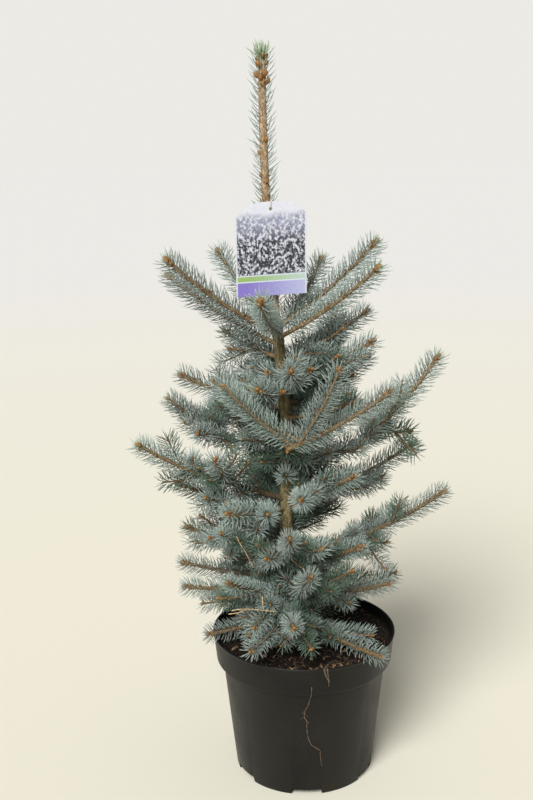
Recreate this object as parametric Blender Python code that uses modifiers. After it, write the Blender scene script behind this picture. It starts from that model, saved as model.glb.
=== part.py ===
"""A young blue spruce in a ten-litre nursery pot, at its real size.

Metres, +Z up. The origin is under the middle of the pot, on the ground, and the front of the plant faces -Y.
The trunk, each thick bough and each mass of needles is one closed solid. A mass is a slim core along every
shoot with needles standing out of it, fused into one.
"""

import math
import random

import bmesh
import bpy
import numpy as np
from mathutils import Matrix, Vector

CM = 0.01
SHARP_ANGLE = math.radians(35)
GAP = 0.0003  # left between two pieces that touch on the real plant

# The pot: a straight tapering body under a wider collar, thin walled. Its base has a flat middle and a raised
# channel round it, which drains through notches in the foot.
POT_HEIGHT = 0.225
RIM_RADIUS = 0.140
COLLAR_HEIGHT = 0.045
COLLAR_FOOT_RADIUS = 0.1345
BODY_TOP_RADIUS = 0.125
BODY_FOOT_RADIUS = 0.106
POT_WALL = 0.002
LIP = 0.0015  # how far the rim's lip stands out
FOOT_BEVEL = 0.003
FOOT_WIDTH = 0.003
BASE_RADIUS = 0.065
BASE_THICKNESS = 0.003
CHANNEL_HEIGHT = 0.010
CHANNEL_SLOPE = 0.002
POT_STEPS = 36
NOTCH_COUNT = 6
NOTCH_WIDTH = 0.048
NOTCH_HEIGHT = 0.009
NOTCH_TAPER = 0.92

# The compost stands a little under the rim.
SOIL_TOP = 0.214

# The trunk's course, as sideways place and height, from the compost to the last bud.
TRUNK_COURSE = (
    (-0.015, 0.214),
    (-0.023, 0.32),
    (-0.026, 0.44),
    (-0.025, 0.56),
    (-0.034, 0.67),
    (-0.043, 0.77),
    (-0.050, 0.88),
    (-0.053, 0.98),
    (-0.054, 1.075),
)
TRUNK_FOOT_RADIUS = 0.0100
TRUNK_WHORL_RADIUS = 0.0068  # under the top whorl
LEADER_FOOT_RADIUS = 0.0052
LEADER_TOP_RADIUS = 0.0042
FLARE = 0.0035
FLARE_HEIGHT = 0.015
FLARE_RINGS = (0.0, 0.3, 0.8, 2.0)  # in flare heights above the compost
TOP_WHORL = 0.70
WOOD_RINGS = 8
LEADER_RINGS = 6
BUD_HEIGHT = 0.006
BUD_RADIUS = 0.0012

# The leader is this year's upright shoot, from above the top whorl to the last bud.
LEADER_FOOT = 0.712
LEADER_TOP = 1.068
LEADER_POINTS = 13
SLEEVE_WALL = 0.0014
SLEEVE_EDGE = 0.004

# Boughs and shoots, tier by tier. Each row is the height on the trunk (cm), the bare bough, and the leafy
# shoot that leads on from it. A bough or shoot is its bearing (degrees from the right side, 90 is the back),
# its rise (degrees) and its length (cm). With no bough, the leafy shoot grows from the trunk.
TOP = (
    (68.5, None, (195, 36, 19.5)),
    (67.0, None, (165, 30, 19.0)),
    (69.5, None, (130, 36, 16.5)),
    (69.0, None, (260, 26, 15.5)),
    (69.5, None, (5, 40, 18.5)),
    (68.0, None, (335, 36, 18.5)),
    (69.0, None, (55, 36, 15.0)),
)
UPPER = (
    (64.5, None, (10, 28, 14.5)),
    (61.5, None, (350, 26, 14.5)),
    (63.5, None, (45, 14, 13.0)),
    (65.0, None, (140, 14, 11.0)),
    (62.0, None, (115, 0, 10.0)),
    (62.5, None, (275, 16, 12.5)),
    (59.0, None, (250, 20, 11.5)),
    (57.0, None, (25, 26, 15.5)),
    (56.0, None, (320, 20, 13.5)),
    (57.5, None, (185, 20, 16.0)),
    (58.0, None, (80, 10, 12.5)),
)
MIDDLE = (
    (50.5, (270, 22, 9.0), (345, 32, 17.0)),
    (49.5, (340, 14, 10.5), (350, 50, 18.5)),
    (49.5, (160, 16, 9.0), (178, 34, 11.0)),
    (43.5, (200, 22, 8.0), (198, 28, 16.5)),
    (51.0, (60, 14, 7.0), (60, 20, 9.0)),
    (50.5, (115, 12, 6.5), (120, 20, 9.0)),
    (41.5, None, (180, 16, 16.5)),
    (42.0, None, (235, 14, 15.0)),
    (43.5, None, (320, 26, 14.0)),
    (42.0, None, (15, 22, 22.0)),
    (43.0, None, (100, 14, 14.0)),
)
LOWER = (
    (35.0, (345, 14, 8.0), (342, 32, 18.5)),
    (35.5, (275, 18, 5.0), (268, 30, 12.0)),
    (34.0, (320, 14, 6.0), (320, 26, 9.0)),
    (36.0, (190, 12, 5.0), (162, 6, 11.0)),
    (37.0, None, (75, 10, 14.0)),
    (36.5, None, (120, 8, 14.0)),
)
BOTTOM = (
    (31.0, None, (165, 2, 17.0)),
    (29.5, None, (180, 0, 16.0)),
    (28.0, None, (235, 26, 17.5)),
    (25.5, None, (200, -8, 13.5)),
    (26.5, None, (270, 12, 15.5)),
    (28.5, None, (280, 30, 17.5)),
    (27.5, None, (335, 18, 17.0)),
    (25.0, None, (315, -4, 18.0)),
    (28.0, None, (85, 6, 14.0)),
)
TIERS = {"top": TOP, "upper": UPPER, "middle": MIDDLE, "lower": LOWER, "bottom": BOTTOM}

# The longer side shoots of a mass: tier and row of the parent, how far along its leafy shoot each one
# starts, then its bearing, rise and length as above.
SIDE_SHOOTS = {
    ("upper", 4): ((0.4, 190, 5, 4.0),),
    ("middle", 1): ((0.06, 195, 44, 13.5), (0.10, 325, 60, 15.0), (0.14, 170, 34, 15.0)),
    ("middle", 2): ((0.25, 25, -10, 6.0), (0.08, 60, 14, 8.0)),
    ("middle", 3): ((0.2, 250, 14, 7.5), (0.08, 110, 20, 8.0)),
    ("middle", 4): ((0.06, 255, 38, 10.0), (0.3, 155, 0, 4.0)),
    ("middle", 5): ((0.15, 20, 24, 8.0), (0.15, 100, 30, 8.0)),
    ("middle", 6): ((0.15, 160, 24, 8.5), (0.15, 80, 34, 7.5)),
    ("middle", 7): ((0.5, 235, 20, 6.5),),
    ("middle", 9): ((0.35, 260, 14, 10.0), (0.4, 5, 20, 6.0)),
    ("middle", 10): ((0.4, 40, -6, 9.0),),
    ("lower", 1): ((0.06, 40, 14, 11.0), (0.06, 350, 2, 6.5)),
    ("lower", 2): ((0.12, 310, 18, 7.0), (0.12, 240, 10, 7.0)),
    ("lower", 3): ((0.2, 10, 18, 8.0),),
    ("lower", 4): ((0.12, 185, 32, 8.0), (0.2, 230, 20, 7.5), (0.08, 245, 26, 10.5)),
    ("lower", 5): ((0.35, 30, 20, 8.0), (0.35, 110, 24, 7.0)),
    ("lower", 6): ((0.35, 165, 20, 7.5),),
    ("bottom", 1): ((0.35, 115, 12, 7.5),),
    ("bottom", 2): ((0.35, 185, -16, 8.0),),
    ("bottom", 3): ((0.2, 245, -12, 8.5), (0.45, 190, -2, 6.5)),
    ("bottom", 5): ((0.2, 240, -6, 12.5), (0.3, 285, -6, 10.0)),
    ("bottom", 6): ((0.12, 310, 30, 15.0),),
    ("bottom", 7): ((0.2, 10, 12, 13.5),),
    ("bottom", 8): ((0.25, 345, -4, 9.0),),
    ("bottom", 9): ((0.3, 40, 8, 9.0), (0.3, 130, 8, 9.0)),
}

SAG = math.radians(8)  # a shoot hangs a little below its chord and lifts to its tip
SHOOT_POINTS = 9
BOUGH_POINTS = 4
BOUGH_ROOT_RADIUS = 0.0045
BOUGH_TIP_RADIUS = 0.0030
STEM_RADIUS = 0.0024
CORE_RADIUS = 0.0040
CORE_TIP_RADIUS = 0.0020
TWIG_SIDES = 3

# Below the top tier, a leafy shoot with no longer side shoots gets a pair of short twigs by a seeded rule.
TWIG_SEED = 5
TWIG_START = (0.30, 0.45)
TWIG_SPREAD = (38, 52)
TWIG_SHARE = 0.36
SIDE_LIFT = 6

# Needles stand out of the core in whorls, one from each long face. They are longer and wider than life here,
# because each stands for a tuft.
NEEDLE_LENGTH = 0.022
NEEDLE_FOOT = 0.0050
WHORL_PITCH = 0.0178
WHORL_TURN = 25  # degrees from one whorl to the next
NEEDLE_LEAN = 50  # degrees from the shoot's line
NEEDLE_LEAN_TIP = 26
BARE_STEM = 0.018
BARE_SIDE_STEM = 0.010
CLEARANCE = 0.0008
BEAD_PITCH = 0.0025
NEEDLE_POINT = 0.0002
LEAD_LENGTH = 0.003
LEADER_SIDES = 6
LEADER_PITCH = 0.018
SPACE_BEADS = 340
TRUNK_OWNER = -1
BOUGH_OWNER = -2

# The label: a thin card with an arched top, on a loop of thin cord round the leader.
TAG_WIDTH = 0.099
TAG_HEIGHT = 0.131
TAG_ARCH = 0.019
TAG_ARCH_STEPS = 12
TAG_THICKNESS = 0.0006
TAG_HOLE_RADIUS = 0.0024
TAG_HOLE_DROP = 0.010
TAG_HOLE = (-0.044, -0.022, 0.867)
TAG_TURN = -3
TIE_RADIUS = 0.0006
LOOP_REACH = 0.018  # how far sideways the loop's room goes
LOOP_ROOM = 0.012
LOOP_RISE = 0.007  # the loop's height round the leader, above the label
TIE_STEPS = 3


def remove_everything():
    """Start from an empty scene."""
    for item in list(bpy.data.objects):
        bpy.data.objects.remove(item)


def material(name, colour, roughness, metallic=0.0):
    """Return a plain finish of this colour."""
    finish = bpy.data.materials.new(name)
    finish.use_nodes = True
    shader = finish.node_tree.nodes["Principled BSDF"]
    shader.inputs["Base Color"].default_value = (*colour, 1.0)
    shader.inputs["Roughness"].default_value = roughness
    shader.inputs["Metallic"].default_value = metallic
    return finish


def add_object(name, data, collection, finish=None):
    """Put a mesh or curve into a collection under its name."""
    item = bpy.data.objects.new(name, data)
    collection.objects.link(item)
    if finish:
        data.materials.append(finish)
    return item


def applied(item):
    """Turn an object's evaluated shape into its own mesh, welded, with no modifiers left."""
    bpy.context.view_layer.update()
    graph = bpy.context.evaluated_depsgraph_get()
    mesh = bpy.data.meshes.new_from_object(item.evaluated_get(graph))
    shape = bmesh.new()
    shape.from_mesh(mesh)
    bmesh.ops.remove_doubles(shape, verts=shape.verts, dist=0.000002)
    shape.to_mesh(mesh)
    shape.free()
    return mesh


def settled(item, collection, finish):
    """Put an object into a collection as its own finished mesh, shaded smooth between its sharp edges."""
    mesh = applied(item)
    mesh.shade_smooth()
    mesh.set_sharp_from_angle(angle=SHARP_ANGLE)
    mesh.materials.clear()
    name = item.name
    bpy.data.objects.remove(item)
    return add_object(name, mesh, collection, finish)


def tube_mesh(name, points, radii, sides_step):
    """Return the mesh of a closed round rod through the points, with a radius at each."""
    line = bpy.data.curves.new(name, "CURVE")
    line.dimensions = "3D"
    line.bevel_depth = 1.0
    line.bevel_resolution = sides_step
    line.use_fill_caps = True
    spline = line.splines.new("POLY")
    spline.points.add(len(points) - 1)
    for place, point, radius in zip(spline.points, points, radii):
        place.co = (*point, 1.0)
        place.radius = radius
    item = add_object(name, line, bpy.context.scene.collection)
    mesh = applied(item)
    bpy.data.objects.remove(item)
    return mesh


def turned(name, profile):
    """Return a solid turned about Z from a profile that runs down its outer side."""
    mesh = bpy.data.meshes.new(name)
    places = [(radius, 0.0, height) for radius, height in profile]
    mesh.from_pydata(places, [(i, i + 1) for i in range(len(places) - 1)], [])
    item = add_object(name, mesh, bpy.context.scene.collection)
    screw = item.modifiers.new("turn", "SCREW")
    screw.steps = screw.render_steps = POT_STEPS
    screw.use_merge_vertices = True
    screw.merge_threshold = 0.00001
    return item


def pot_radius(height, wall=0.0):
    """Return the pot's outer radius at a height, less a wall."""
    collar_foot = POT_HEIGHT - COLLAR_HEIGHT
    if height < collar_foot:
        part = height / collar_foot
        return BODY_FOOT_RADIUS + (BODY_TOP_RADIUS - BODY_FOOT_RADIUS) * part - wall
    part = (height - collar_foot) / COLLAR_HEIGHT
    return COLLAR_FOOT_RADIUS + (RIM_RADIUS - LIP - COLLAR_FOOT_RADIUS) * part - wall


def build_pot(collection):
    """Turn the pot and cut the drain notches in its foot."""
    cutters = bpy.data.collections.new("notch_cutters")
    bpy.context.scene.collection.children.link(cutters)
    collar_foot = POT_HEIGHT - COLLAR_HEIGHT
    floor = CHANNEL_HEIGHT + BASE_THICKNESS
    profile = (
        (0.0, BASE_THICKNESS),
        (BASE_RADIUS, BASE_THICKNESS),
        (BASE_RADIUS + CHANNEL_SLOPE, floor),
        (pot_radius(floor, POT_WALL), floor),
        (BODY_TOP_RADIUS - POT_WALL, collar_foot),
        (COLLAR_FOOT_RADIUS - POT_WALL, collar_foot + POT_WALL),
        (RIM_RADIUS - LIP - POT_WALL, POT_HEIGHT - LIP),
        (RIM_RADIUS - LIP, POT_HEIGHT),
        (RIM_RADIUS, POT_HEIGHT - LIP),
        (RIM_RADIUS - LIP, POT_HEIGHT - 3 * LIP),
        (COLLAR_FOOT_RADIUS, collar_foot + POT_WALL),
        (COLLAR_FOOT_RADIUS - POT_WALL, collar_foot),
        (BODY_TOP_RADIUS, collar_foot - POT_WALL),
        (pot_radius(FOOT_BEVEL), FOOT_BEVEL),
        (BODY_FOOT_RADIUS - POT_WALL / 2, 0.0),
        (BODY_FOOT_RADIUS - POT_WALL / 2 - FOOT_WIDTH, 0.0),
        (BODY_FOOT_RADIUS - POT_WALL - FOOT_WIDTH, CHANNEL_HEIGHT),
        (BASE_RADIUS + CHANNEL_SLOPE + BASE_THICKNESS, CHANNEL_HEIGHT),
        (BASE_RADIUS + BASE_THICKNESS, 0.0),
        (0.0, 0.0),
    )
    pot = turned("pot", profile)
    for index in range(NOTCH_COUNT):
        shape = bmesh.new()
        bmesh.ops.create_cube(shape, size=1.0)
        roof = [corner for corner in shape.verts if corner.co.z > 0]
        bmesh.ops.scale(shape, vec=(1.0, NOTCH_TAPER, 1.0), verts=roof)
        size = (4 * (POT_WALL + FOOT_WIDTH), NOTCH_WIDTH, 2 * NOTCH_HEIGHT)
        bmesh.ops.scale(shape, vec=size, verts=shape.verts)
        bmesh.ops.translate(shape, vec=(BODY_FOOT_RADIUS, 0.0, 0.0), verts=shape.verts)
        mesh = bpy.data.meshes.new("notch")
        shape.to_mesh(mesh)
        shape.free()
        notch = add_object(f"notch_{index + 1}", mesh, cutters)
        notch.rotation_euler.z = math.radians(270 + index * 360 / NOTCH_COUNT)
    cut = pot.modifiers.new("notches", "BOOLEAN")
    cut.operation = "DIFFERENCE"
    cut.operand_type = "COLLECTION"
    cut.collection = cutters
    settled(pot, collection, material("pot_plastic", (0.030, 0.029, 0.026), 0.45))
    for notch in list(cutters.objects):
        bpy.data.objects.remove(notch)
    bpy.data.collections.remove(cutters)


def build_soil(collection):
    """Turn the plug of compost that fills the pot."""
    collar_foot = POT_HEIGHT - COLLAR_HEIGHT
    floor = CHANNEL_HEIGHT + BASE_THICKNESS + GAP
    wall = POT_WALL + GAP
    profile = (
        (0.0, SOIL_TOP),
        (pot_radius(SOIL_TOP, wall), SOIL_TOP),
        (COLLAR_FOOT_RADIUS - wall, collar_foot + POT_WALL + 2 * GAP),
        (BODY_TOP_RADIUS - wall, collar_foot + GAP),
        (pot_radius(floor, wall), floor),
        (BASE_RADIUS + CHANNEL_SLOPE - 2 * GAP, floor),
        (BASE_RADIUS - 2 * GAP, BASE_THICKNESS + GAP),
        (0.0, BASE_THICKNESS + GAP),
    )
    settled(turned("soil", profile), collection, material("compost", (0.022, 0.016, 0.012), 0.95))


def trunk_point(height):
    """Return the trunk's middle at a height, on a smooth curve through its course."""
    count = len(TRUNK_COURSE)
    index = 0
    while index < count - 2 and height > TRUNK_COURSE[index + 1][1]:
        index += 1
    before = TRUNK_COURSE[max(index - 1, 0)]
    start = TRUNK_COURSE[index]
    end = TRUNK_COURSE[index + 1]
    after = TRUNK_COURSE[min(index + 2, count - 1)]
    span = end[1] - start[1]
    part = (height - start[1]) / span
    slope_start = (end[0] - before[0]) / (end[1] - before[1]) * span
    slope_end = (after[0] - start[0]) / (after[1] - start[1]) * span
    side = (
        (2 * part**3 - 3 * part**2 + 1) * start[0]
        + (part**3 - 2 * part**2 + part) * slope_start
        + (3 * part**2 - 2 * part**3) * end[0]
        + (part**3 - part**2) * slope_end
    )
    return Vector((side, 0.0, height))


def trunk_radius(height):
    """Return the trunk's radius: a flared foot, a steady taper, and the thinner leader."""
    flare = FLARE * math.exp(-(height - SOIL_TOP) / FLARE_HEIGHT)
    if height < TOP_WHORL:
        part = (height - SOIL_TOP) / (TOP_WHORL - SOIL_TOP)
        return TRUNK_FOOT_RADIUS + (TRUNK_WHORL_RADIUS - TRUNK_FOOT_RADIUS) * part + flare
    part = (height - TOP_WHORL) / (TRUNK_COURSE[-1][1] - TOP_WHORL)
    return LEADER_FOOT_RADIUS + (LEADER_TOP_RADIUS - LEADER_FOOT_RADIUS) * part


def trunk_mesh(name, grow=0.0):
    """Return the trunk's mesh, made thicker by grow for use as a cutter."""
    top = TRUNK_COURSE[-1][1]
    foot = SOIL_TOP + GAP
    heights = [foot + FLARE_HEIGHT * ring for ring in FLARE_RINGS]
    wood_foot = heights[-1]
    wood_step = (TOP_WHORL - GAP - wood_foot) / WOOD_RINGS
    heights += [wood_foot + wood_step * ring for ring in range(1, WOOD_RINGS + 1)]
    leader_foot = LEADER_FOOT - SLEEVE_EDGE
    heights += [leader_foot + (top - leader_foot) * ring / LEADER_RINGS for ring in range(LEADER_RINGS + 1)]
    points = [trunk_point(height) for height in heights]
    points[1].x = points[0].x
    radii = [trunk_radius(height) + grow for height in heights]
    points.append(points[-1] + Vector((0.0, 0.0, BUD_HEIGHT)))
    radii.append(BUD_RADIUS + grow)
    return tube_mesh(name, points, radii, 2)


def heading(bearing, rise):
    """Return the unit direction of a bearing and a rise in degrees."""
    turn = math.radians(bearing)
    lift = math.radians(rise)
    return Vector((math.cos(turn) * math.cos(lift), math.sin(turn) * math.cos(lift), math.sin(lift)))


def shoot_course(start, bearing, rise, length, lead=None, sag=SAG, count=SHOOT_POINTS):
    """Return the points of a shoot that sags below its chord and lifts to its tip.

    A lead is the direction in which the shoot leaves a cut face, so that the two faces lie parallel.
    """
    chord = heading(bearing, rise)
    upward = heading(bearing, rise + 90)
    points = []
    for index in range(count):
        part = index / (count - 1)
        hang = length * math.tan(sag) * part * (1 - part)
        points.append(start + chord * (length * part) - upward * hang)
    if lead:
        points.insert(1, start + lead * LEAD_LENGTH)
    return points


def course_length(points):
    """Return the length of a course."""
    return sum((b - a).length for a, b in zip(points, points[1:]))


def point_along(points, part):
    """Return the place at a part of a course's length, and the direction there."""
    spans = [(b - a).length for a, b in zip(points, points[1:])]
    left = part * sum(spans)
    for start, end, span in zip(points, points[1:], spans):
        if left <= span:
            return start.lerp(end, left / span), (end - start).normalized()
        left -= span
    return points[-1].copy(), (points[-1] - points[-2]).normalized()


class Space:
    """Beads that stand for what is already there, so that a needle can keep clear of it."""

    def __init__(self):
        self.centres = np.zeros((0, 3))
        self.radii = np.zeros(0)
        self.owners = np.zeros(0, dtype=int)

    def add(self, beads, owner):
        centres, radii = beads
        self.centres = np.vstack([self.centres, centres])
        self.radii = np.concatenate([self.radii, radii])
        self.owners = np.concatenate([self.owners, np.full(len(radii), owner)])

    def is_free(self, beads, owner):
        centres, radii = beads
        others = self.owners != owner
        apart = np.linalg.norm(centres[:, None, :] - self.centres[others][None, :, :], axis=2)
        return bool(np.all(apart > radii[:, None] + self.radii[others][None, :] + CLEARANCE))


def beads_along(points, radii):
    """Return bead centres and radii along a rod."""
    centres = []
    sizes = []
    for start, end, first, last in zip(points, points[1:], radii, radii[1:]):
        count = max(2, math.ceil((end - start).length / BEAD_PITCH) + 1)
        for index in range(count):
            part = index / (count - 1)
            centres.append(start.lerp(end, part))
            sizes.append(first + (last - first) * part)
    return np.array([tuple(c) for c in centres]), np.array(sizes)


def meets_pot(centres, radii):
    """Say whether beads come too near the compost or the pot's wall."""
    for (x, y, z), radius in zip(centres, radii):
        out = math.hypot(x, y)
        reach = radius + CLEARANCE
        if out < RIM_RADIUS + reach and z < SOIL_TOP + reach:
            return True
        if RIM_RADIUS - LIP - 2 * POT_WALL - reach < out < RIM_RADIUS + reach and z < POT_HEIGHT + reach:
            return True
    return False


def meets_tag(centres, radii):
    """Say whether beads come too near the label or its loop."""
    hole_x, tag_y, hole_z = TAG_HOLE
    top = hole_z + TAG_HOLE_DROP
    for (x, y, z), radius in zip(centres, radii):
        reach = radius + CLEARANCE
        beside = abs(x - hole_x) < TAG_WIDTH / 2 + TAG_HOLE_DROP + reach
        level = top - TAG_HEIGHT - TAG_HOLE_DROP < z < top + reach
        if beside and level and abs(y - tag_y) < 2 * TIE_RADIUS + reach:
            return True
        near_loop = abs(x - hole_x) < LOOP_REACH + reach and abs(z - top) < LOOP_ROOM + reach
        if near_loop and tag_y - reach < y < -tag_y:
            return True
    return False


def core_radius(part):
    """Return the radius of a shoot's core at a part of its length."""
    return CORE_RADIUS + (CORE_TIP_RADIUS - CORE_RADIUS) * part


def add_ring(shape, points, part, radius, sides, turn):
    """Add one cross-section of a core to a shape, and return its corners and the direction there."""
    place, along = point_along(points, part)
    chord = points[-1] - points[0]
    level = Vector((-chord.y, chord.x, 0.0))
    if level.length < 0.2 * chord.length:
        level = Vector((0.0, 1.0, 0.0))
    level = (level - along * level.dot(along)).normalized()
    basis = Matrix((level, along.cross(level), along)).transposed().to_4x4()
    matrix = Matrix.Translation(place) @ basis @ Matrix.Rotation(math.radians(turn), 4, "Z")
    ring = bmesh.ops.create_circle(shape, cap_ends=False, segments=sides, radius=radius, matrix=matrix)
    return ring["verts"], along


def skin(shape, ring, following):
    """Close the band between two cross-sections and return its faces."""
    faces = []
    for index, corner in enumerate(ring):
        after = (index + 1) % len(ring)
        faces.append(shape.faces.new((corner, ring[after], following[after], following[index])))
    return faces


def stand_needle(shape, face, direction, taken):
    """Draw one face of a core out to a needle's point, unless something is in the way."""
    root = face.calc_center_median()
    beads = beads_along([root, root + direction * NEEDLE_LENGTH], [NEEDLE_FOOT / 2, NEEDLE_POINT])
    if taken(beads):
        return
    point = bmesh.ops.poke(shape, faces=[face])["verts"][0]
    point.co = root + direction * NEEDLE_LENGTH


def shoot_mesh(points, bare, taken, radius, root, sides, pitch):
    """Return a leafy shoot: a slim core with whorls of needles drawn out of its faces."""
    length = course_length(points)
    first = bare / length
    whorls = max(2, round(length * (1 - first) / pitch))
    band = NEEDLE_FOOT / length
    shape = bmesh.new()
    ring, along = add_ring(shape, points, 0.0, root, sides, 0)
    shape.faces.new(list(reversed(ring)))
    for index in range(whorls):
        start = first + (1 - first - band) * index / (whorls - 1)
        turn = WHORL_TURN * index
        low, along = add_ring(shape, points, start, radius(start), sides, turn)
        high, along = add_ring(shape, points, min(start + band, 1.0), radius(start + band), sides, turn)
        skin(shape, ring, low)
        at_tip = index == whorls - 1
        lean = math.radians(NEEDLE_LEAN_TIP if at_tip else NEEDLE_LEAN)
        for face in skin(shape, low, high):
            face.normal_update()
            direction = along * math.cos(lean) + face.normal * math.sin(lean)
            stand_needle(shape, face, direction.normalized(), taken)
        ring = high
    end = shape.faces.new(ring)
    end.normal_update()
    stand_needle(shape, end, along, taken)
    mesh = bpy.data.meshes.new("shoot")
    shape.to_mesh(mesh)
    shape.free()
    return mesh


def fuse(target, pieces, cutter, collection, finish):
    """Join pieces to a target by one union, cut it clear of the cutter, and drop what it was made from."""
    group = bpy.data.collections.new("pieces_of_" + target.name)
    bpy.context.scene.collection.children.link(group)
    for mesh in pieces:
        add_object("piece", mesh, group)
    if pieces:
        union = target.modifiers.new("fuse", "BOOLEAN")
        union.operation = "UNION"
        union.operand_type = "COLLECTION"
        union.collection = group
        union.solver = "MANIFOLD"
    if cutter:
        cut = target.modifiers.new("clear", "BOOLEAN")
        cut.operation = "DIFFERENCE"
        cut.object = cutter
        cut.solver = "MANIFOLD"
    settled(target, collection, finish)
    for item in list(group.objects):
        bpy.data.objects.remove(item)
    bpy.data.collections.remove(group)


def plan_tree():
    """Work out every bough and shoot before any needle, so that needles can keep clear of all of them."""
    plan = []
    for tier, rows in TIERS.items():
        for number, (height, bough_line, (bearing, rise, length)) in enumerate(rows, start=1):
            start = trunk_point(height * CM)
            bough = None
            lead = None
            if bough_line:
                toward, lift, reach = bough_line
                bough = shoot_course(start, toward, lift, reach * CM, None, SAG / 2, BOUGH_POINTS)
                lead = (bough[-1] - bough[-2]).normalized()
                start = bough[-1] + lead * GAP
            stem = shoot_course(start, bearing, rise, length * CM, lead)
            shoots = [stem]
            for part, side_bearing, side_rise, side_length in SIDE_SHOOTS.get((tier, number), ()):
                root, _ = point_along(stem, part)
                shoots.append(shoot_course(root, side_bearing, side_rise, side_length * CM))
            plan.append({"name": f"{tier}_{number}", "bough": bough, "shoots": shoots})
    return plan


def bough_radii(count):
    """Return a bough's radii from its root to its tip."""
    step = (BOUGH_TIP_RADIUS - BOUGH_ROOT_RADIUS) / (count - 1)
    return [BOUGH_ROOT_RADIUS + step * i for i in range(count)]


def fill_space(space, plan):
    """Put the trunk, the boughs and all cores into the space."""
    step = (LEADER_TOP - SOIL_TOP) / SPACE_BEADS
    heights = [SOIL_TOP + step * bead for bead in range(SPACE_BEADS + 1)]
    centres = np.array([tuple(trunk_point(height)) for height in heights])
    space.add((centres, np.array([trunk_radius(height) + GAP for height in heights])), TRUNK_OWNER)
    for owner, mass in enumerate(plan):
        if mass["bough"]:
            space.add(beads_along(mass["bough"], bough_radii(len(mass["bough"]))), BOUGH_OWNER)
        for shoot in mass["shoots"]:
            space.add(core_beads(shoot), owner)


def core_beads(shoot):
    """Return the beads of one shoot's core."""
    return beads_along(shoot, [core_radius(i / (len(shoot) - 1)) for i in range(len(shoot))])


def add_twigs(space, plan):
    """Give each plain shoot below the top tier its pair of short twigs, where they have room."""
    chance = random.Random(TWIG_SEED)
    for owner, mass in enumerate(plan):
        if mass["name"].startswith("top") or len(mass["shoots"]) > 1:
            continue
        stem = mass["shoots"][0]
        for side in (-1, 1):
            root, along = point_along(stem, chance.uniform(*TWIG_START))
            bearing = math.degrees(math.atan2(along.y, along.x)) + side * chance.uniform(*TWIG_SPREAD)
            rise = math.degrees(math.asin(along.z)) + SIDE_LIFT
            twig = shoot_course(root, bearing, rise, course_length(stem) * TWIG_SHARE)
            beads = core_beads(twig)
            if space.is_free(beads, owner) and not meets_pot(*beads):
                space.add(beads, owner)
                mass["shoots"].append(twig)


def build_mass(space, mass, owner, cutter, collection, finish):
    """Build one mass: the cores of its shoots, and every needle that has room."""

    def taken(beads):
        if meets_pot(*beads) or meets_tag(*beads) or not space.is_free(beads, owner):
            return True
        space.add(beads, owner)
        return False

    pieces = []
    for index, shoot in enumerate(mass["shoots"]):
        bare = BARE_SIDE_STEM if index or mass["bough"] else BARE_STEM
        pieces.append(shoot_mesh(shoot, bare, taken, core_radius, STEM_RADIUS, TWIG_SIDES, WHORL_PITCH))
    stem = add_object("needles_" + mass["name"], pieces.pop(0), bpy.context.scene.collection)
    fuse(stem, pieces, None if mass["bough"] else cutter, collection, finish)


def sleeve_radius(part):
    """Return the radius of the leader's sleeve of needles at a part of its height."""
    height = LEADER_FOOT + (LEADER_TOP - LEADER_FOOT) * part
    return (trunk_radius(height) + GAP + SLEEVE_WALL) / math.cos(math.pi / LEADER_SIDES)


def build_leader(space, owner, cutter, collection, finish):
    """Build the sleeve of needles round the leader, open below and cut clear of the trunk."""
    step = (LEADER_TOP - LEADER_FOOT) / (LEADER_POINTS - 1)
    points = [trunk_point(LEADER_FOOT + step * i) for i in range(LEADER_POINTS)]

    def taken(beads):
        if meets_tag(*beads) or not space.is_free((beads[0][3:], beads[1][3:]), owner):
            return True
        space.add(beads, owner)
        return False

    foot_radius = sleeve_radius(0.0)
    mesh = shoot_mesh(points, SLEEVE_EDGE, taken, sleeve_radius, foot_radius, LEADER_SIDES, LEADER_PITCH)
    sleeve = add_object("needles_leader", mesh, bpy.context.scene.collection)
    fuse(sleeve, [], cutter, collection, finish)


def build_tag(collection):
    """Build the label: a flat card with an arched top and a punched hole, hung by the hole."""
    card = bpy.data.curves.new("tag", "CURVE")
    card.dimensions = "2D"
    card.fill_mode = "BOTH"
    card.extrude = TAG_THICKNESS / 2
    side = TAG_HEIGHT - TAG_ARCH
    outline = [(-1.0, 0.0), (1.0, 0.0)]
    for step in range(TAG_ARCH_STEPS + 1):
        across = 1 - 2 * step / TAG_ARCH_STEPS
        outline.append((across, side + TAG_ARCH * (1 - abs(across) ** 3)))
    lift = TAG_HOLE_DROP - TAG_HEIGHT
    loops = [[(across * TAG_WIDTH / 2, height + lift) for across, height in outline]]
    turns = [2 * math.pi * step / TAG_ARCH_STEPS for step in range(TAG_ARCH_STEPS)]
    loops.append([(TAG_HOLE_RADIUS * math.cos(turn), TAG_HOLE_RADIUS * math.sin(turn)) for turn in turns])
    for loop in loops:
        spline = card.splines.new("POLY")
        spline.points.add(len(loop) - 1)
        spline.use_cyclic_u = True
        for place, (across, height) in zip(spline.points, loop):
            place.co = (across, height, 0.0, 1.0)
    tag = add_object("tag", card, collection, material("tag_card", (0.33, 0.33, 0.46), 0.3))
    tag.location = TAG_HOLE
    tag.rotation_euler = (math.radians(90), math.radians(TAG_TURN), 0.0)


def smooth_loop(points, steps):
    """Return a closed course through hand-placed points, rounded between them."""
    course = []
    count = len(points)
    for index in range(count):
        before, start, end, after = (Vector(points[(index + shift) % count]) for shift in (-1, 0, 1, 2))
        for step in range(steps):
            part = step / steps
            course.append(
                0.5
                * (
                    2 * start
                    + (end - before) * part
                    + (2 * before - 5 * start + 4 * end - after) * part**2
                    + (3 * start - before - 3 * end + after) * part**3
                )
            )
    return course


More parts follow.
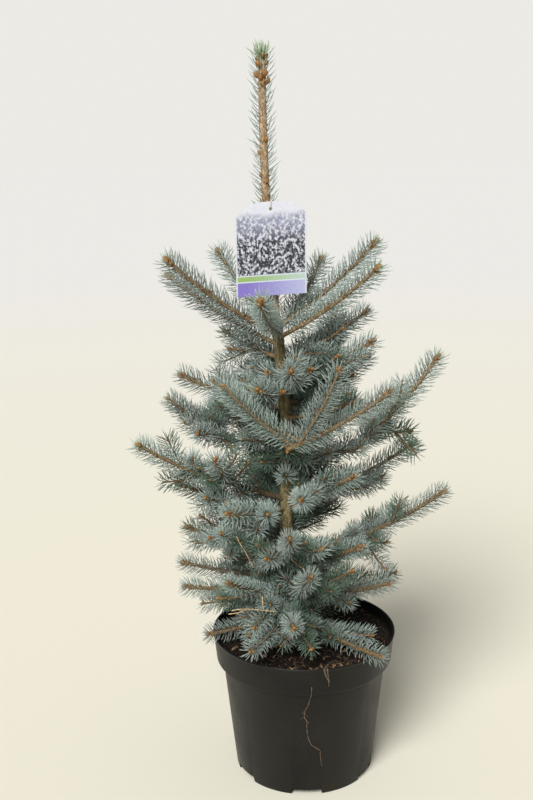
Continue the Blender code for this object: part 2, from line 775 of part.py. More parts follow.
def build_tie(collection):
    """Build the loop that goes through the label's hole, over its top edge and round the leader."""
    hole_x, tag_y, hole_z = TAG_HOLE
    top = hole_z + TAG_HOLE_DROP
    level = top + LOOP_RISE
    middle = trunk_point(level).x
    hug = sleeve_radius((level - LEADER_FOOT) / (LEADER_TOP - LEADER_FOOT)) + TIE_RADIUS + 2 * GAP
    at_hole = hole_z + TAG_HOLE_RADIUS - TIE_RADIUS - 2 * GAP
    route = (
        (hole_x, tag_y + 0.004, at_hole + 0.0003),
        (hole_x, tag_y, at_hole),
        (hole_x, tag_y - 0.0025, at_hole + 0.003),
        (hole_x, tag_y - 0.0022, top - 0.001),
        (hole_x, tag_y, top + 0.0022),
        (hole_x + 0.002, tag_y + 0.008, top + 0.004),
        (middle + hug, -0.004, level),
        (middle + 0.72 * hug, 0.72 * hug, level),
        (middle, hug, level),
        (middle - 0.72 * hug, 0.72 * hug, level),
        (middle - hug, -0.002, level - 0.002),
        (middle - 0.5 * hug, tag_y + 0.009, at_hole + 0.004),
    )
    course = smooth_loop(route, TIE_STEPS)
    line = bpy.data.curves.new("tag_tie", "CURVE")
    line.dimensions = "3D"
    line.bevel_depth = TIE_RADIUS
    line.bevel_resolution = 1
    spline = line.splines.new("POLY")
    spline.points.add(len(course) - 1)
    spline.use_cyclic_u = True
    for place, point in zip(spline.points, course):
        place.co = (*point, 1.0)
    add_object("tag_tie", line, collection, material("tie_plastic", (0.75, 0.74, 0.70), 0.4))


remove_everything()
spruce = bpy.data.collections.new("potted_blue_spruce")
bpy.context.scene.collection.children.link(spruce)
build_pot(spruce)
build_soil(spruce)
bark = material("bark", (0.16, 0.11, 0.07), 0.85)
settled(add_object("trunk", trunk_mesh("trunk"), bpy.context.scene.collection), spruce, bark)
around_trunk = add_object("around_trunk", trunk_mesh("around_trunk", GAP), bpy.context.scene.collection)
needle_green = material("needle_blue_green", (0.13, 0.21, 0.22), 0.6)
room = Space()
tree = plan_tree()
fill_space(room, tree)
add_twigs(room, tree)
for place, grown in enumerate(tree):
    if grown["bough"]:
        limb_mesh = tube_mesh("limb", grown["bough"], bough_radii(BOUGH_POINTS), 1)
        limb = add_object("bough_" + grown["name"], limb_mesh, bpy.context.scene.collection)
        fuse(limb, [], around_trunk, spruce, bark)
    build_mass(room, grown, place, around_trunk, spruce, needle_green)
build_leader(room, len(tree), around_trunk, spruce, needle_green)
bpy.data.objects.remove(around_trunk)
build_tag(spruce)
build_tie(spruce)
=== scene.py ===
import math
import random

import bmesh
import bpy
import numpy as np
from mathutils import Matrix, Vector, noise


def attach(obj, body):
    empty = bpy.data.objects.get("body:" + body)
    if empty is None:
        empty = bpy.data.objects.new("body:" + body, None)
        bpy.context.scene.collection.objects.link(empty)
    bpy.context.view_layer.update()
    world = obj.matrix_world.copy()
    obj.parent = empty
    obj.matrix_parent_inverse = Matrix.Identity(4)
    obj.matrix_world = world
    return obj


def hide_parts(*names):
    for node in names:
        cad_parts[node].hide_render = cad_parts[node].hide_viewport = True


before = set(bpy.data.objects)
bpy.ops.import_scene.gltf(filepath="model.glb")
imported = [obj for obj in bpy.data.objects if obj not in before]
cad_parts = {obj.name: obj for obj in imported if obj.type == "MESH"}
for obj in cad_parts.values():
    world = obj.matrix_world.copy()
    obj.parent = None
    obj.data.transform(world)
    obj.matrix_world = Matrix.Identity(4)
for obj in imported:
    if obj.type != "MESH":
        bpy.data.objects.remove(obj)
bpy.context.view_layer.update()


# The studio: a plain pale floor and soft light from high on the left. The camera is held at chest height, a
# step and a half in front of the plant, and tipped down a little, as it was for the photograph.
CAMERA_PLACE = (-0.053, -1.648, 1.029)
CAMERA_TILT = math.radians(15.0)
CAMERA_ROLL = math.radians(-0.71)
CAMERA_LENS = 52.5
FLOOR_RADIUS = 14.0
FLOOR_COLOUR = (0.775, 0.748, 0.637)
FLOOR_FAR_COLOUR = (0.749, 0.745, 0.729)
FLOOR_FADE = (1.0, 5.0)
SKY_COLOUR = (1.0, 0.985, 0.94)
SKY_SEEN = 0.838
SKY_LIGHT = 0.13
LAMP_COLOUR = (1.0, 0.99, 0.97)
# Each light's place, its strength, and how many degrees wide it is in the sky.
LIGHTS = {
    "window_light": ((-1.3, -3.25, 3.1), 3.95, 28),
    "top_light": ((0.5, 0.3, 4.0), 0.5, 70),
}


def feed(tree, socket, value):
    """Link a shader socket from another socket, or set it to a value. A colour needs only its three parts."""
    if isinstance(value, bpy.types.NodeSocket):
        tree.links.new(value, socket)
    elif socket.type == "RGBA":
        socket.default_value = (*value, 1.0)
    else:
        socket.default_value = value


def add_node(tree, kind, **values):
    """Add a shader node and feed its inputs by name, with underscores for spaces."""
    item = tree.nodes.new("ShaderNode" + kind)
    for name, value in values.items():
        feed(tree, item.inputs[name.replace("_", " ")], value)
    return item


def rescale(tree, value, start, end, low=0.0, high=1.0):
    """Map the range from start to end onto the range from low to high, and return the result."""
    item = add_node(tree, "MapRange", Value=value, From_Min=start, From_Max=end, To_Min=low, To_Max=high)
    return item.outputs["Result"]


def blend_colours(tree, share, ground, patch):
    """Return the colour between two colours, by a share of the second."""
    item = add_node(tree, "Mix")
    item.data_type = "RGBA"
    share_socket, ground_socket, patch_socket = (item.inputs[index] for index in (0, 6, 7))
    feed(tree, share_socket, share)
    feed(tree, ground_socket, ground)
    feed(tree, patch_socket, patch)
    return item.outputs[2]


def new_finish(name, colour, roughness, specular=0.5):
    """Return a material of one colour, its node tree and its shader, for its own section to work up."""
    finish = bpy.data.materials.new(name)
    finish.use_nodes = True
    shader = finish.node_tree.nodes["Principled BSDF"]
    feed(finish.node_tree, shader.inputs["Base Color"], colour)
    shader.inputs["Roughness"].default_value = roughness
    shader.inputs["Specular IOR Level"].default_value = specular
    return finish, finish.node_tree, shader


def modelled_mesh(name, shape, smooth=False):
    """Return a modelled shape as a mesh, and let the shape go."""
    mesh = bpy.data.meshes.new(name)
    shape.to_mesh(mesh)
    shape.free()
    if smooth:
        mesh.shade_smooth()
    return mesh


def stand(name, data):
    """Stand a mesh, a lamp or a camera in the scene."""
    item = bpy.data.objects.new(name, data)
    bpy.context.scene.collection.objects.link(item)
    return item


def add_soft_light(name, place, strength, spread):
    """Hang a far-off light that shines softly on the plant from its place."""
    lamp = bpy.data.lights.new(name, "SUN")
    lamp.energy = strength
    lamp.angle = math.radians(spread)
    lamp.color = LAMP_COLOUR
    holder = stand(name, lamp)
    holder.location = place
    holder.rotation_euler = (-Vector(place)).to_track_quat("-Z", "Y").to_euler()


camera_lens = bpy.data.cameras.new("camera")
camera_lens.lens = CAMERA_LENS
camera = stand("camera", camera_lens)
aim = Matrix.Rotation(math.radians(90) - CAMERA_TILT, 4, "X") @ Matrix.Rotation(CAMERA_ROLL, 4, "Z")
camera.matrix_world = Matrix.Translation(CAMERA_PLACE) @ aim
bpy.context.scene.camera = camera

ground = bmesh.new()
bmesh.ops.create_circle(ground, cap_ends=True, segments=96, radius=FLOOR_RADIUS)
floor_mesh = modelled_mesh("floor", ground)
floor_finish, floor_tree, floor_shader = new_finish("floor_paint", FLOOR_COLOUR, 0.75, 0.0)
floor_distance = add_node(floor_tree, "VectorMath")
floor_distance.operation = "LENGTH"
feed(floor_tree, floor_distance.inputs[0], add_node(floor_tree, "TexCoord").outputs["Object"])
far_share = rescale(floor_tree, floor_distance.outputs["Value"], *FLOOR_FADE)
floor_blend = blend_colours(floor_tree, far_share, FLOOR_COLOUR, FLOOR_FAR_COLOUR)
feed(floor_tree, floor_shader.inputs["Base Color"], floor_blend)
floor_mesh.materials.append(floor_finish)
floor = stand("floor", floor_mesh)

sky = bpy.data.worlds.new("soft_light")
sky.use_nodes = True
sky_light = sky.node_tree.nodes["Background"]
camera_ray = add_node(sky.node_tree, "LightPath").outputs["Is Camera Ray"]
feed(sky.node_tree, sky_light.inputs["Color"], SKY_COLOUR)
sky_strength = rescale(sky.node_tree, camera_ray, 0, 1, SKY_LIGHT, SKY_SEEN)
feed(sky.node_tree, sky_light.inputs["Strength"], sky_strength)
bpy.context.scene.world = sky
bpy.context.scene.view_settings.view_transform = "Standard"
for name, (place, strength, spread) in LIGHTS.items():
    add_soft_light(name, place, strength, spread)


# The pot is a ten-litre nursery pot, blow-moulded in thin black plastic: a tapering body under a wider collar
# with a plain thin rim, and six drain notches in its foot. It has dust, scuffs and a smear of soil.
POT_HEIGHT = 0.225
RIM_RADIUS = 0.140
COLLAR_HEIGHT = 0.045
COLLAR_FOOT_RADIUS = 0.1345
BODY_TOP_RADIUS = 0.125
BODY_FOOT_RADIUS = 0.106
POT_WALL = 0.002
LIP = 0.0015
FOOT_BEVEL = 0.003
FOOT_WIDTH = 0.003
BASE_RADIUS = 0.065
BASE_THICKNESS = 0.003
CHANNEL_HEIGHT = 0.010
CHANNEL_SLOPE = 0.002
POT_STEPS = 144
NOTCH_COUNT = 6
NOTCH_WIDTH = 0.048
NOTCH_HEIGHT = 0.009
NOTCH_TAPER = 0.92
POT_EDGE = 0.0007
SHARP_EDGE = math.radians(40)
CREASE = math.radians(20)
POT_BLACK = (0.0064, 0.0062, 0.0052)
DUST = (0.050, 0.046, 0.037)
DUST_SHARE = 0.18
SOIL_SMEAR = (0.013, 0.0105, 0.0075)
SMEAR_BAND = (0.075, 0.01)
# A mottle's fineness, the level where its patches begin, their softness, and how they are stretched.
DUST_CLOUDS = (14, 0.56, 0.16)
SCUFFS = (160, 0.70, 0.03, (1.0, 1.0, 2.5))
SMEARS = (26, 0.61, 0.05)


def set_up(name, mesh, finish, slot, *nodes):
    """Stand a finished mesh in the scene as one piece of the plant, in place of the CAD nodes it dresses."""
    mesh.materials.append(finish)
    piece = stand(name, mesh)
    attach(piece, "root")
    if nodes:
        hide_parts(*nodes)


def pot_radius(height, wall=0.0):
    """Return the pot's outer radius at a height, less a wall."""
    collar_foot = POT_HEIGHT - COLLAR_HEIGHT
    if height < collar_foot:
        return BODY_FOOT_RADIUS + (BODY_TOP_RADIUS - BODY_FOOT_RADIUS) * height / collar_foot - wall
    part = (height - collar_foot) / COLLAR_HEIGHT
    return COLLAR_FOOT_RADIUS + (RIM_RADIUS - LIP - COLLAR_FOOT_RADIUS) * part - wall


def spin_profile(profile, steps):
    """Return a closed round body, spun about the upright axis from a profile of radii and heights."""
    shape = bmesh.new()
    corners = [shape.verts.new((radius, 0.0, height)) for radius, height in profile]
    line = [shape.edges.new(pair) for pair in zip(corners, corners[1:])]
    bmesh.ops.spin(
        shape, geom=corners + line, cent=(0, 0, 0), axis=(0, 0, 1), angle=2 * math.pi, steps=steps,
        use_merge=True,
    )
    bmesh.ops.remove_doubles(shape, verts=shape.verts, dist=0.000002)
    bmesh.ops.recalc_face_normals(shape, faces=shape.faces)
    return shape


def cut_away(mesh, cutter):
    """Return a mesh with a cutter's shape taken out of it."""
    blade = stand("blade", modelled_mesh("blade", cutter))
    blank = stand("blank", mesh)
    cut = blank.modifiers.new("cut", "BOOLEAN")
    cut.operation = "DIFFERENCE"
    cut.solver = "EXACT"
    cut.object = blade
    left = bpy.data.meshes.new_from_object(blank.evaluated_get(bpy.context.evaluated_depsgraph_get()))
    for item in (blade, blank):
        bpy.data.objects.remove(item)
    return left


def work_out(tree, operation, *values):
    """Return the result of a maths step on values or sockets."""
    item = add_node(tree, "Math")
    item.operation = operation
    for socket, value in zip(item.inputs, values):
        feed(tree, socket, value)
    return item.outputs["Value"]


def mottle_group():
    """Return a node group that mixes two colours in soft-edged patches, and gives their height for bump."""
    group = bpy.data.node_groups.new("mottle", "ShaderNodeTree")
    for name, kind in (
        ("Ground", "Color"), ("Patch", "Color"), ("Stretch", "Vector"),
        ("Scale", "Float"), ("Level", "Float"), ("Softness", "Float"),
    ):
        group.interface.new_socket(name=name, in_out="INPUT", socket_type="NodeSocket" + kind)
    for name, kind in (("Colour", "Color"), ("Height", "Float"), ("Mask", "Float")):
        group.interface.new_socket(name=name, in_out="OUTPUT", socket_type="NodeSocket" + kind)
    given = group.nodes.new("NodeGroupInput").outputs
    result = group.nodes.new("NodeGroupOutput").inputs
    where = add_node(group, "TexCoord").outputs["Object"]
    stretched = add_node(group, "Mapping", Vector=where, Scale=given["Stretch"]).outputs["Vector"]
    patches = add_node(group, "TexNoise", Vector=stretched, Scale=given["Scale"], Detail=6.0, Roughness=0.62)
    height = patches.outputs["Fac"]
    low = work_out(group, "SUBTRACT", given["Level"], given["Softness"])
    high = work_out(group, "ADD", given["Level"], given["Softness"])
    mask = rescale(group, height, low, high)
    feed(group, result["Colour"], blend_colours(group, mask, given["Ground"], given["Patch"]))
    feed(group, result["Height"], height)
    feed(group, result["Mask"], mask)
    return group


def add_mottle(tree, ground, patch, scale, level, softness, stretch=(1.0, 1.0, 1.0)):
    """Place the mottle group in a material, and return its outputs. The ground may be a socket."""
    item = add_node(tree, "Group")
    item.node_tree = bpy.data.node_groups.get("mottle") or mottle_group()
    names = ("Ground", "Patch", "Scale", "Level", "Softness", "Stretch")
    for name, value in zip(names, (ground, patch, scale, level, softness, stretch)):
        feed(tree, item.inputs[name], value)
    return item.outputs


def add_bump(tree, shader, height, strength, distance):
    """Feed a height to the shader's normal."""
    bump = add_node(tree, "Bump", Strength=strength, Distance=distance, Height=height)
    feed(tree, shader.inputs["Normal"], bump.outputs["Normal"])


def mottled_finish(name, colour, roughness, mottle, ground=None, specular=0.5):
    """Return a material coloured by one mottle, its tree, its shader and the mottle's outputs.

    The mottle is its patch colour, fineness, level, softness and stretch, as add_mottle takes them.
    """
    finish, tree, shader = new_finish(name, colour, roughness, specular)
    patches = add_mottle(tree, ground or colour, *mottle)
    feed(tree, shader.inputs["Base Color"], patches["Colour"])
    return finish, tree, shader, patches


def pot_finish():
    """Black plastic that dust has greyed in clouds, with fine scuffs and a low smear of dried soil."""
    finish, tree, shader = new_finish("pot_plastic", POT_BLACK, 0.42, 0.21)
    dusty = [(1 - DUST_SHARE) * black + DUST_SHARE * dust for black, dust in zip(POT_BLACK, DUST)]
    clouds = add_mottle(tree, POT_BLACK, dusty, *DUST_CLOUDS)
    scuffs = add_mottle(tree, clouds["Colour"], DUST, *SCUFFS)
    smear = add_mottle(tree, scuffs["Colour"], SOIL_SMEAR, *SMEARS)
    split = add_node(tree, "SeparateXYZ", Vector=add_node(tree, "TexCoord").outputs["Object"])
    low_part = rescale(tree, split.outputs["Z"], *SMEAR_BAND)
    feed(tree, shader.inputs["Base Color"], blend_colours(tree, low_part, scuffs["Colour"], smear["Colour"]))
    feed(tree, shader.inputs["Roughness"], rescale(tree, clouds["Height"], 0.35, 0.7, 0.36, 0.55))
    add_bump(tree, shader, scuffs["Height"], 0.25, 0.0004)
    return finish


collar_foot = POT_HEIGHT - COLLAR_HEIGHT
channel_roof = CHANNEL_HEIGHT + BASE_THICKNESS
pot_shape = spin_profile(
    (
        (0.0, BASE_THICKNESS),
        (BASE_RADIUS, BASE_THICKNESS),
        (BASE_RADIUS + CHANNEL_SLOPE, channel_roof),
        (pot_radius(channel_roof, POT_WALL), channel_roof),
        (BODY_TOP_RADIUS - POT_WALL, collar_foot),
        (COLLAR_FOOT_RADIUS - POT_WALL, collar_foot + POT_WALL),
        (RIM_RADIUS - LIP - POT_WALL, POT_HEIGHT - LIP),
        (RIM_RADIUS - LIP, POT_HEIGHT),
        (RIM_RADIUS, POT_HEIGHT - LIP),
        (RIM_RADIUS - LIP, POT_HEIGHT - 3 * LIP),
        (COLLAR_FOOT_RADIUS, collar_foot + POT_WALL),
        (COLLAR_FOOT_RADIUS - POT_WALL, collar_foot),
        (BODY_TOP_RADIUS, collar_foot - POT_WALL),
        (pot_radius(FOOT_BEVEL), FOOT_BEVEL),
        (BODY_FOOT_RADIUS - POT_WALL / 2, 0.0),
        (BODY_FOOT_RADIUS - POT_WALL / 2 - FOOT_WIDTH, 0.0),
        (BODY_FOOT_RADIUS - POT_WALL - FOOT_WIDTH, CHANNEL_HEIGHT),
        (BASE_RADIUS + CHANNEL_SLOPE + BASE_THICKNESS, CHANNEL_HEIGHT),
        (BASE_RADIUS + BASE_THICKNESS, 0.0),
        (0.0, 0.0),
    ),
    POT_STEPS,
)
creases = [edge for edge in pot_shape.edges if edge.is_manifold and edge.calc_face_angle() > CREASE]
bmesh.ops.bevel(
    pot_shape, geom=creases, offset=POT_EDGE, offset_type="OFFSET", affect="EDGES", segments=2, profile=0.5,
    material=-1, clamp_overlap=True,
)
pot_mesh = modelled_mesh("pot_shell", pot_shape)

notch_shape = bmesh.new()
for index in range(NOTCH_COUNT):
    block = bmesh.ops.create_cube(notch_shape, size=1.0)["verts"]
    roof = [corner for corner in block if corner.co.z > 0]
    bmesh.ops.scale(notch_shape, vec=(1.0, NOTCH_TAPER, 1.0), verts=roof)
    size = (4 * (POT_WALL + FOOT_WIDTH), NOTCH_WIDTH, 2 * NOTCH_HEIGHT)
    bmesh.ops.scale(notch_shape, vec=size, verts=block)
    bmesh.ops.translate(notch_shape, vec=(BODY_FOOT_RADIUS, 0.0, 0.0), verts=block)
    turn = Matrix.Rotation(math.radians(270) + index * 2 * math.pi / NOTCH_COUNT, 3, "Z")
    bmesh.ops.rotate(notch_shape, cent=(0, 0, 0), matrix=turn, verts=block)
pot_mesh = cut_away(pot_mesh, notch_shape)
pot_mesh.shade_smooth()
pot_mesh.set_sharp_from_angle(angle=SHARP_EDGE)
set_up("nursery_pot", pot_mesh, pot_finish(), "pot_plastic", "pot")


# The compost is a dark peaty mix that fills the pot to a finger's width under the rim, crumbly on top and
# strewn with shreds of bark and fine root fibres, thickest along the front edge where they washed up.
GAP = 0.0003
SOIL_TOP = 0.214
SOIL_RINGS = 84
SOIL_STEPS = 220
SOIL_SWELL = 0.0035
SWELL_FINENESS = 28
CRUMB = 0.0011
CRUMB_FINENESS = 260
SOIL_SINK = 0.001
EDGE_SINK = 0.002
SOIL_DARK = (0.0070, 0.0050, 0.0036)
SOIL_BROWN = (0.018, 0.012, 0.007)
SOIL_SEED = 11
# Shreds of bark by tone: their colour, how many there are, what share of them lies at the front, and within
# how many degrees to either side.
CHIPS = {
    "tan": ((0.30, 0.19, 0.095), 150, 0.62, 13),
    "brown": ((0.090, 0.047, 0.022), 520, 0.22, 24),
    "dark": ((0.022, 0.012, 0.007), 1500, 0.22, 24),
}
CHIP_SHAPES = 4
CHIP_LENGTHS = (0.003, 0.0075)
CHIP_WIDTH = 0.36
CHIP_THICKNESS = 0.15
LONG_CHIP = 1.6
LONG_CHIP_SHARE = 0.12
GRAIN_SHADE = 0.35
FRONT_BEARING = 284
FIBRE_COUNT = 90
FIBRE_FRONT = (0.35, 24)
FIBRE_LENGTHS = (0.006, 0.022)
FIBRE_STEPS = 7
FIBRE_WANDER = 0.16
FIBRE_REACH = 0.90
FIBRE_RADII = (0.00035, 0.00015)
FIBRE_LIFT = 0.0006
FIBRE_ARCH = 0.0022
FIBRE_BROWN = (0.17, 0.11, 0.060)
FIBRE_PALE = (0.20, 0.13, 0.072)
FIBRE_DARK = (0.085, 0.046, 0.024)


def soil_lift(x, y):
    """Return how far the compost's surface stands above or below its level at a place."""
    swell = noise.fractal(Vector((x * SWELL_FINENESS, y * SWELL_FINENESS, 0.0)), 1.0, 2.0, 3)
    crumbs = noise.turbulence(Vector((x * CRUMB_FINENESS, y * CRUMB_FINENESS, 3.0)), 4, False)
    out = math.hypot(x, y) / RIM_RADIUS
    return SOIL_SWELL * swell + CRUMB * (crumbs - 0.5) - EDGE_SINK * out**6 - SOIL_SINK


def soil_finish():
    """Nearly black crumbs with browner dust on them."""
    dust = (SOIL_BROWN, 340, 0.56, 0.07)
    finish, tree, shader, crumbs = mottled_finish("compost", SOIL_DARK, 0.95, dust, specular=0.15)
    add_bump(tree, shader, crumbs["Height"], 0.9, 0.0012)
    return finish


wall = POT_WALL + GAP
soil_edge = pot_radius(SOIL_TOP, wall) - 0.0004
soil_profile = [(soil_edge * ring / SOIL_RINGS, SOIL_TOP) for ring in range(SOIL_RINGS + 1)]
soil_profile += [
    (COLLAR_FOOT_RADIUS - wall, collar_foot + POT_WALL + 2 * GAP),
    (BODY_TOP_RADIUS - wall, collar_foot + GAP),
    (pot_radius(channel_roof + GAP, wall), channel_roof + GAP),
    (BASE_RADIUS + CHANNEL_SLOPE - 2 * GAP, channel_roof + GAP),
    (BASE_RADIUS - 2 * GAP, BASE_THICKNESS + GAP),
    (0.0, BASE_THICKNESS + GAP),
]
soil_shape = spin_profile(soil_profile, SOIL_STEPS)
for corner in soil_shape.verts:
    if corner.co.z > SOIL_TOP - GAP:
        corner.co.z += soil_lift(corner.co.x, corner.co.y)
soil_mesh = modelled_mesh("compost_plug", soil_shape, smooth=True)
set_up("compost_plug", soil_mesh, soil_finish(), "compost", "soil")


def mesh_arrays(shape):
    """Return a small shape's corners as an array, and its faces as tuples of corner numbers."""
    shape.verts.index_update()
    corners = np.array([tuple(corner.co) for corner in shape.verts])
    faces = [tuple(corner.index for corner in face.verts) for face in shape.faces]
    shape.free()
    return corners, faces


def strew(name, batches):
    """Return one joined mesh with a copy of a small shape at each of its places.

    A batch is a shape's arrays, the copies' bases (turn and size, as 3 x 3 matrices) and their places.
    """
    all_corners = []
    loops = []
    sizes = []
    offset = 0
    for (corners, faces), bases, places in batches:
        if not len(places):
            continue
        copies = np.einsum("nij,kj->nki", bases, corners) + places[:, None, :]
        all_corners.append(copies.reshape(-1, 3))
        flat = np.concatenate([np.array(face) for face in faces])
        starts = offset + np.arange(len(places)) * len(corners)
        loops.append((starts[:, None] + flat[None, :]).ravel())
        sizes.append(np.tile([len(face) for face in faces], len(places)))
        offset += len(places) * len(corners)
    corners = np.concatenate(all_corners)
    loops = np.concatenate(loops)
    sizes = np.concatenate(sizes)
    mesh = bpy.data.meshes.new(name)
    mesh.vertices.add(len(corners))
    mesh.vertices.foreach_set("co", corners.ravel())
    mesh.loops.add(len(loops))
    mesh.loops.foreach_set("vertex_index", loops)
    mesh.polygons.add(len(sizes))
    mesh.polygons.foreach_set("loop_start", np.concatenate([[0], np.cumsum(sizes)[:-1]]))
    mesh.update(calc_edges=True)
    mesh.validate()
    return mesh


def chip_shape(chance):
    """Return a splinter of bark: a flattened lump, drawn out and broken unevenly."""
    shape = bmesh.new()
    bmesh.ops.create_icosphere(shape, subdivisions=1, radius=0.5)
    for corner in shape.verts:
        corner.co *= chance.uniform(0.7, 1.25)
        corner.co.y *= CHIP_WIDTH
        corner.co.z *= CHIP_THICKNESS
    return mesh_arrays(shape)


def chip_finish(name, colour):
    """Bark that is darker in its grain and where it is wet."""
    shade = [GRAIN_SHADE * part for part in colour]
    finish, tree, shader, grain = mottled_finish(name, colour, 0.85, (shade, 420, 0.54, 0.10))
    add_bump(tree, shader, grain["Height"], 0.6, 0.0006)
    return finish


def compost_place(chance, front_share, spread):
    """Return a place on the compost, for a share of the calls near the front edge and else anywhere."""
    if chance.random() < front_share:
        bearing = math.radians(chance.gauss(FRONT_BEARING, spread))
        out = soil_edge * (1 - abs(chance.gauss(0.0, 0.075)) - 0.03)
    else:
        bearing = chance.uniform(0, 2 * math.pi)
        out = soil_edge * math.sqrt(chance.uniform(0, 0.93))
    return out * math.cos(bearing), out * math.sin(bearing)


chance = random.Random(SOIL_SEED)
chip_shapes = [chip_shape(chance) for _ in range(CHIP_SHAPES)]
for tone, (colour, count, front_share, spread) in CHIPS.items():
    batches = []
    for shape in chip_shapes:
        bases = []
        places = []
        for _ in range(count // CHIP_SHAPES):
            x, y = compost_place(chance, front_share, spread)
            length = chance.uniform(*CHIP_LENGTHS)
            length *= LONG_CHIP if chance.random() < LONG_CHIP_SHARE or tone == "tan" else 1.0
            turn = Matrix.Rotation(chance.uniform(0, 2 * math.pi), 3, "Z")
            tip = Matrix.Rotation(chance.gauss(0, 0.30), 3, "Y")
            roll = Matrix.Rotation(chance.gauss(0, 0.5), 3, "X")
            bases.append(np.array(turn @ (tip @ roll)) * length)
            places.append((x, y, SOIL_TOP + soil_lift(x, y) + length * chance.uniform(0.05, 0.16)))
        batches.append((shape, np.array(bases), np.array(places)))
    chips = strew("bark_chips_" + tone, batches)
    set_up("bark_chips_" + tone, chips, chip_finish("chips_" + tone, colour), "compost")


def rod_shape(course, radii, sides):
    """Return a closed round rod, grown along a course by drawing one ring of corners from point to point."""
    shape = bmesh.new()
    along = np.gradient(course, axis=0)
    along /= np.linalg.norm(along, axis=1)[:, None]
    side = Vector(along[0]).orthogonal().normalized()
    before = None
    first = None
    for point, direction, radius in zip(course, along, radii):
        direction = Vector(direction)
        side = (side - direction * side.dot(direction)).normalized()
        axes = Matrix((side * radius, direction.cross(side) * radius, direction * radius)).transposed()
        here = Matrix.Translation(point) @ axes.to_4x4()
        if before is None:
            made = bmesh.ops.create_circle(shape, cap_ends=False, segments=sides, radius=1.0, matrix=here)
            edges = list(dict.fromkeys(edge for corner in made["verts"] for edge in corner.link_edges))
            first = edges
        else:
            grown = bmesh.ops.extrude_edge_only(shape, edges=edges)["geom"]
            ring = [part for part in grown if isinstance(part, bmesh.types.BMVert)]
            edges = [part for part in grown if isinstance(part, bmesh.types.BMEdge)]
            bmesh.ops.transform(shape, matrix=here @ before.inverted(), verts=ring)
        before = here
    bmesh.ops.edgeloop_fill(shape, edges=first)
    bmesh.ops.edgeloop_fill(shape, edges=edges)
    bmesh.ops.recalc_face_normals(shape, faces=shape.faces)
    return shape


def rod_arrays(course, radii, sides):
    """Return the arrays of a single rod."""
    return mesh_arrays(rod_shape(course, radii, sides))


def join_rods(name, rods):
    """Join rods that already stand in their places into one smooth mesh."""
    mesh = strew(name, [(rod, np.eye(3)[None], np.zeros((1, 3))) for rod in rods])
    mesh.shade_smooth()
    return mesh


def fibre_course(chance, x, y, length):
    """Return the course of a fine root that wanders over the compost."""
    toward = chance.uniform(0, 2 * math.pi)
    course = []
    for step in range(FIBRE_STEPS):
        arch = FIBRE_ARCH * math.sin(math.pi * step / (FIBRE_STEPS - 1))
        lift = FIBRE_LIFT + arch * chance.uniform(0.5, 1.0)
        course.append((x, y, SOIL_TOP + soil_lift(x, y) + lift))
        toward += chance.gauss(0, FIBRE_WANDER)
        x += math.cos(toward) * length / FIBRE_STEPS
        y += math.sin(toward) * length / FIBRE_STEPS
    return np.array(course)


fibres = []
for _ in range(FIBRE_COUNT):
    x, y = compost_place(chance, *FIBRE_FRONT)
    course = fibre_course(chance, FIBRE_REACH * x, FIBRE_REACH * y, chance.uniform(*FIBRE_LENGTHS))
    fibres.append(rod_arrays(course, np.linspace(*FIBRE_RADII, FIBRE_STEPS), 4))
fibre_finish = mottled_finish("root_fibre", FIBRE_BROWN, 0.8, (FIBRE_DARK, 120, 0.52, 0.1), FIBRE_PALE)[0]
set_up("root_fibres", join_rods("root_fibres", fibres), fibre_finish, "compost")


# The trunk is young wood that leans and bends a little, with a flared foot and scaly olive-brown bark, rough
# with the pegs that old needles stood on. Above the top whorl it is this year's leader, thinner and paler.
TRUNK_COURSE = (
    (-0.015, 0.214),
    (-0.023, 0.32),
    (-0.026, 0.44),
    (-0.025, 0.56),
    (-0.034, 0.67),
    (-0.043, 0.77),
    (-0.050, 0.88),
    (-0.053, 0.98),
    (-0.054, 1.075),
)
TRUNK_FOOT_RADIUS = 0.0100
TRUNK_WHORL_RADIUS = 0.0080
LEADER_FOOT_RADIUS = 0.0052
LEADER_TOP_RADIUS = 0.0042
FLARE = 0.0035
FLARE_HEIGHT = 0.015
TOP_WHORL = 0.70
LEADER_FOOT = 0.712
LEADER_TOP = 1.068
TRUNK_RING = 0.0019
TRUNK_SIDES = 44
TRUNK_LAP = 0.004
# Bark in relief: how deep it is, how fine its plates are, and how far they are squeezed along the wood.
TRUNK_RELIEF = (0.00075, 330, 0.42)
LEADER_PEGS = 0.0011
LEADER_SIDES = 22
LEADER_RELIEF = (0.00035, 520, 0.30)
LEADER_LAP = 0.002
# The leader's end is rounded: the share of its radius that is left at the very tip, and over what length.
LEADER_END = (0.35, 0.012)
CRACK_SHARPNESS = 5.0
PLATE_LEVEL = 0.6
FLAKE_FINENESS = 2.7
FLAKE_SHARE = 0.5
BARK_OLIVE = (0.168, 0.140, 0.060)
BARK_TAN = (0.350, 0.275, 0.150)
BARK_CRACK = (0.035, 0.028, 0.016)
LEADER_TAN = (0.330, 0.205, 0.106)
LEADER_PALE = (0.560, 0.398, 0.250)
LEADER_DARK = (0.095, 0.050, 0.022)


def curve_between(start, slope_start, end, slope_end, part):
    """Return the value at a part of the way from a start to an end, with given slopes there."""
    return (
        (2 * part**3 - 3 * part**2 + 1) * start
        + (part**3 - 2 * part**2 + part) * slope_start
        + (3 * part**2 - 2 * part**3) * end
        + (part**3 - part**2) * slope_end
    )


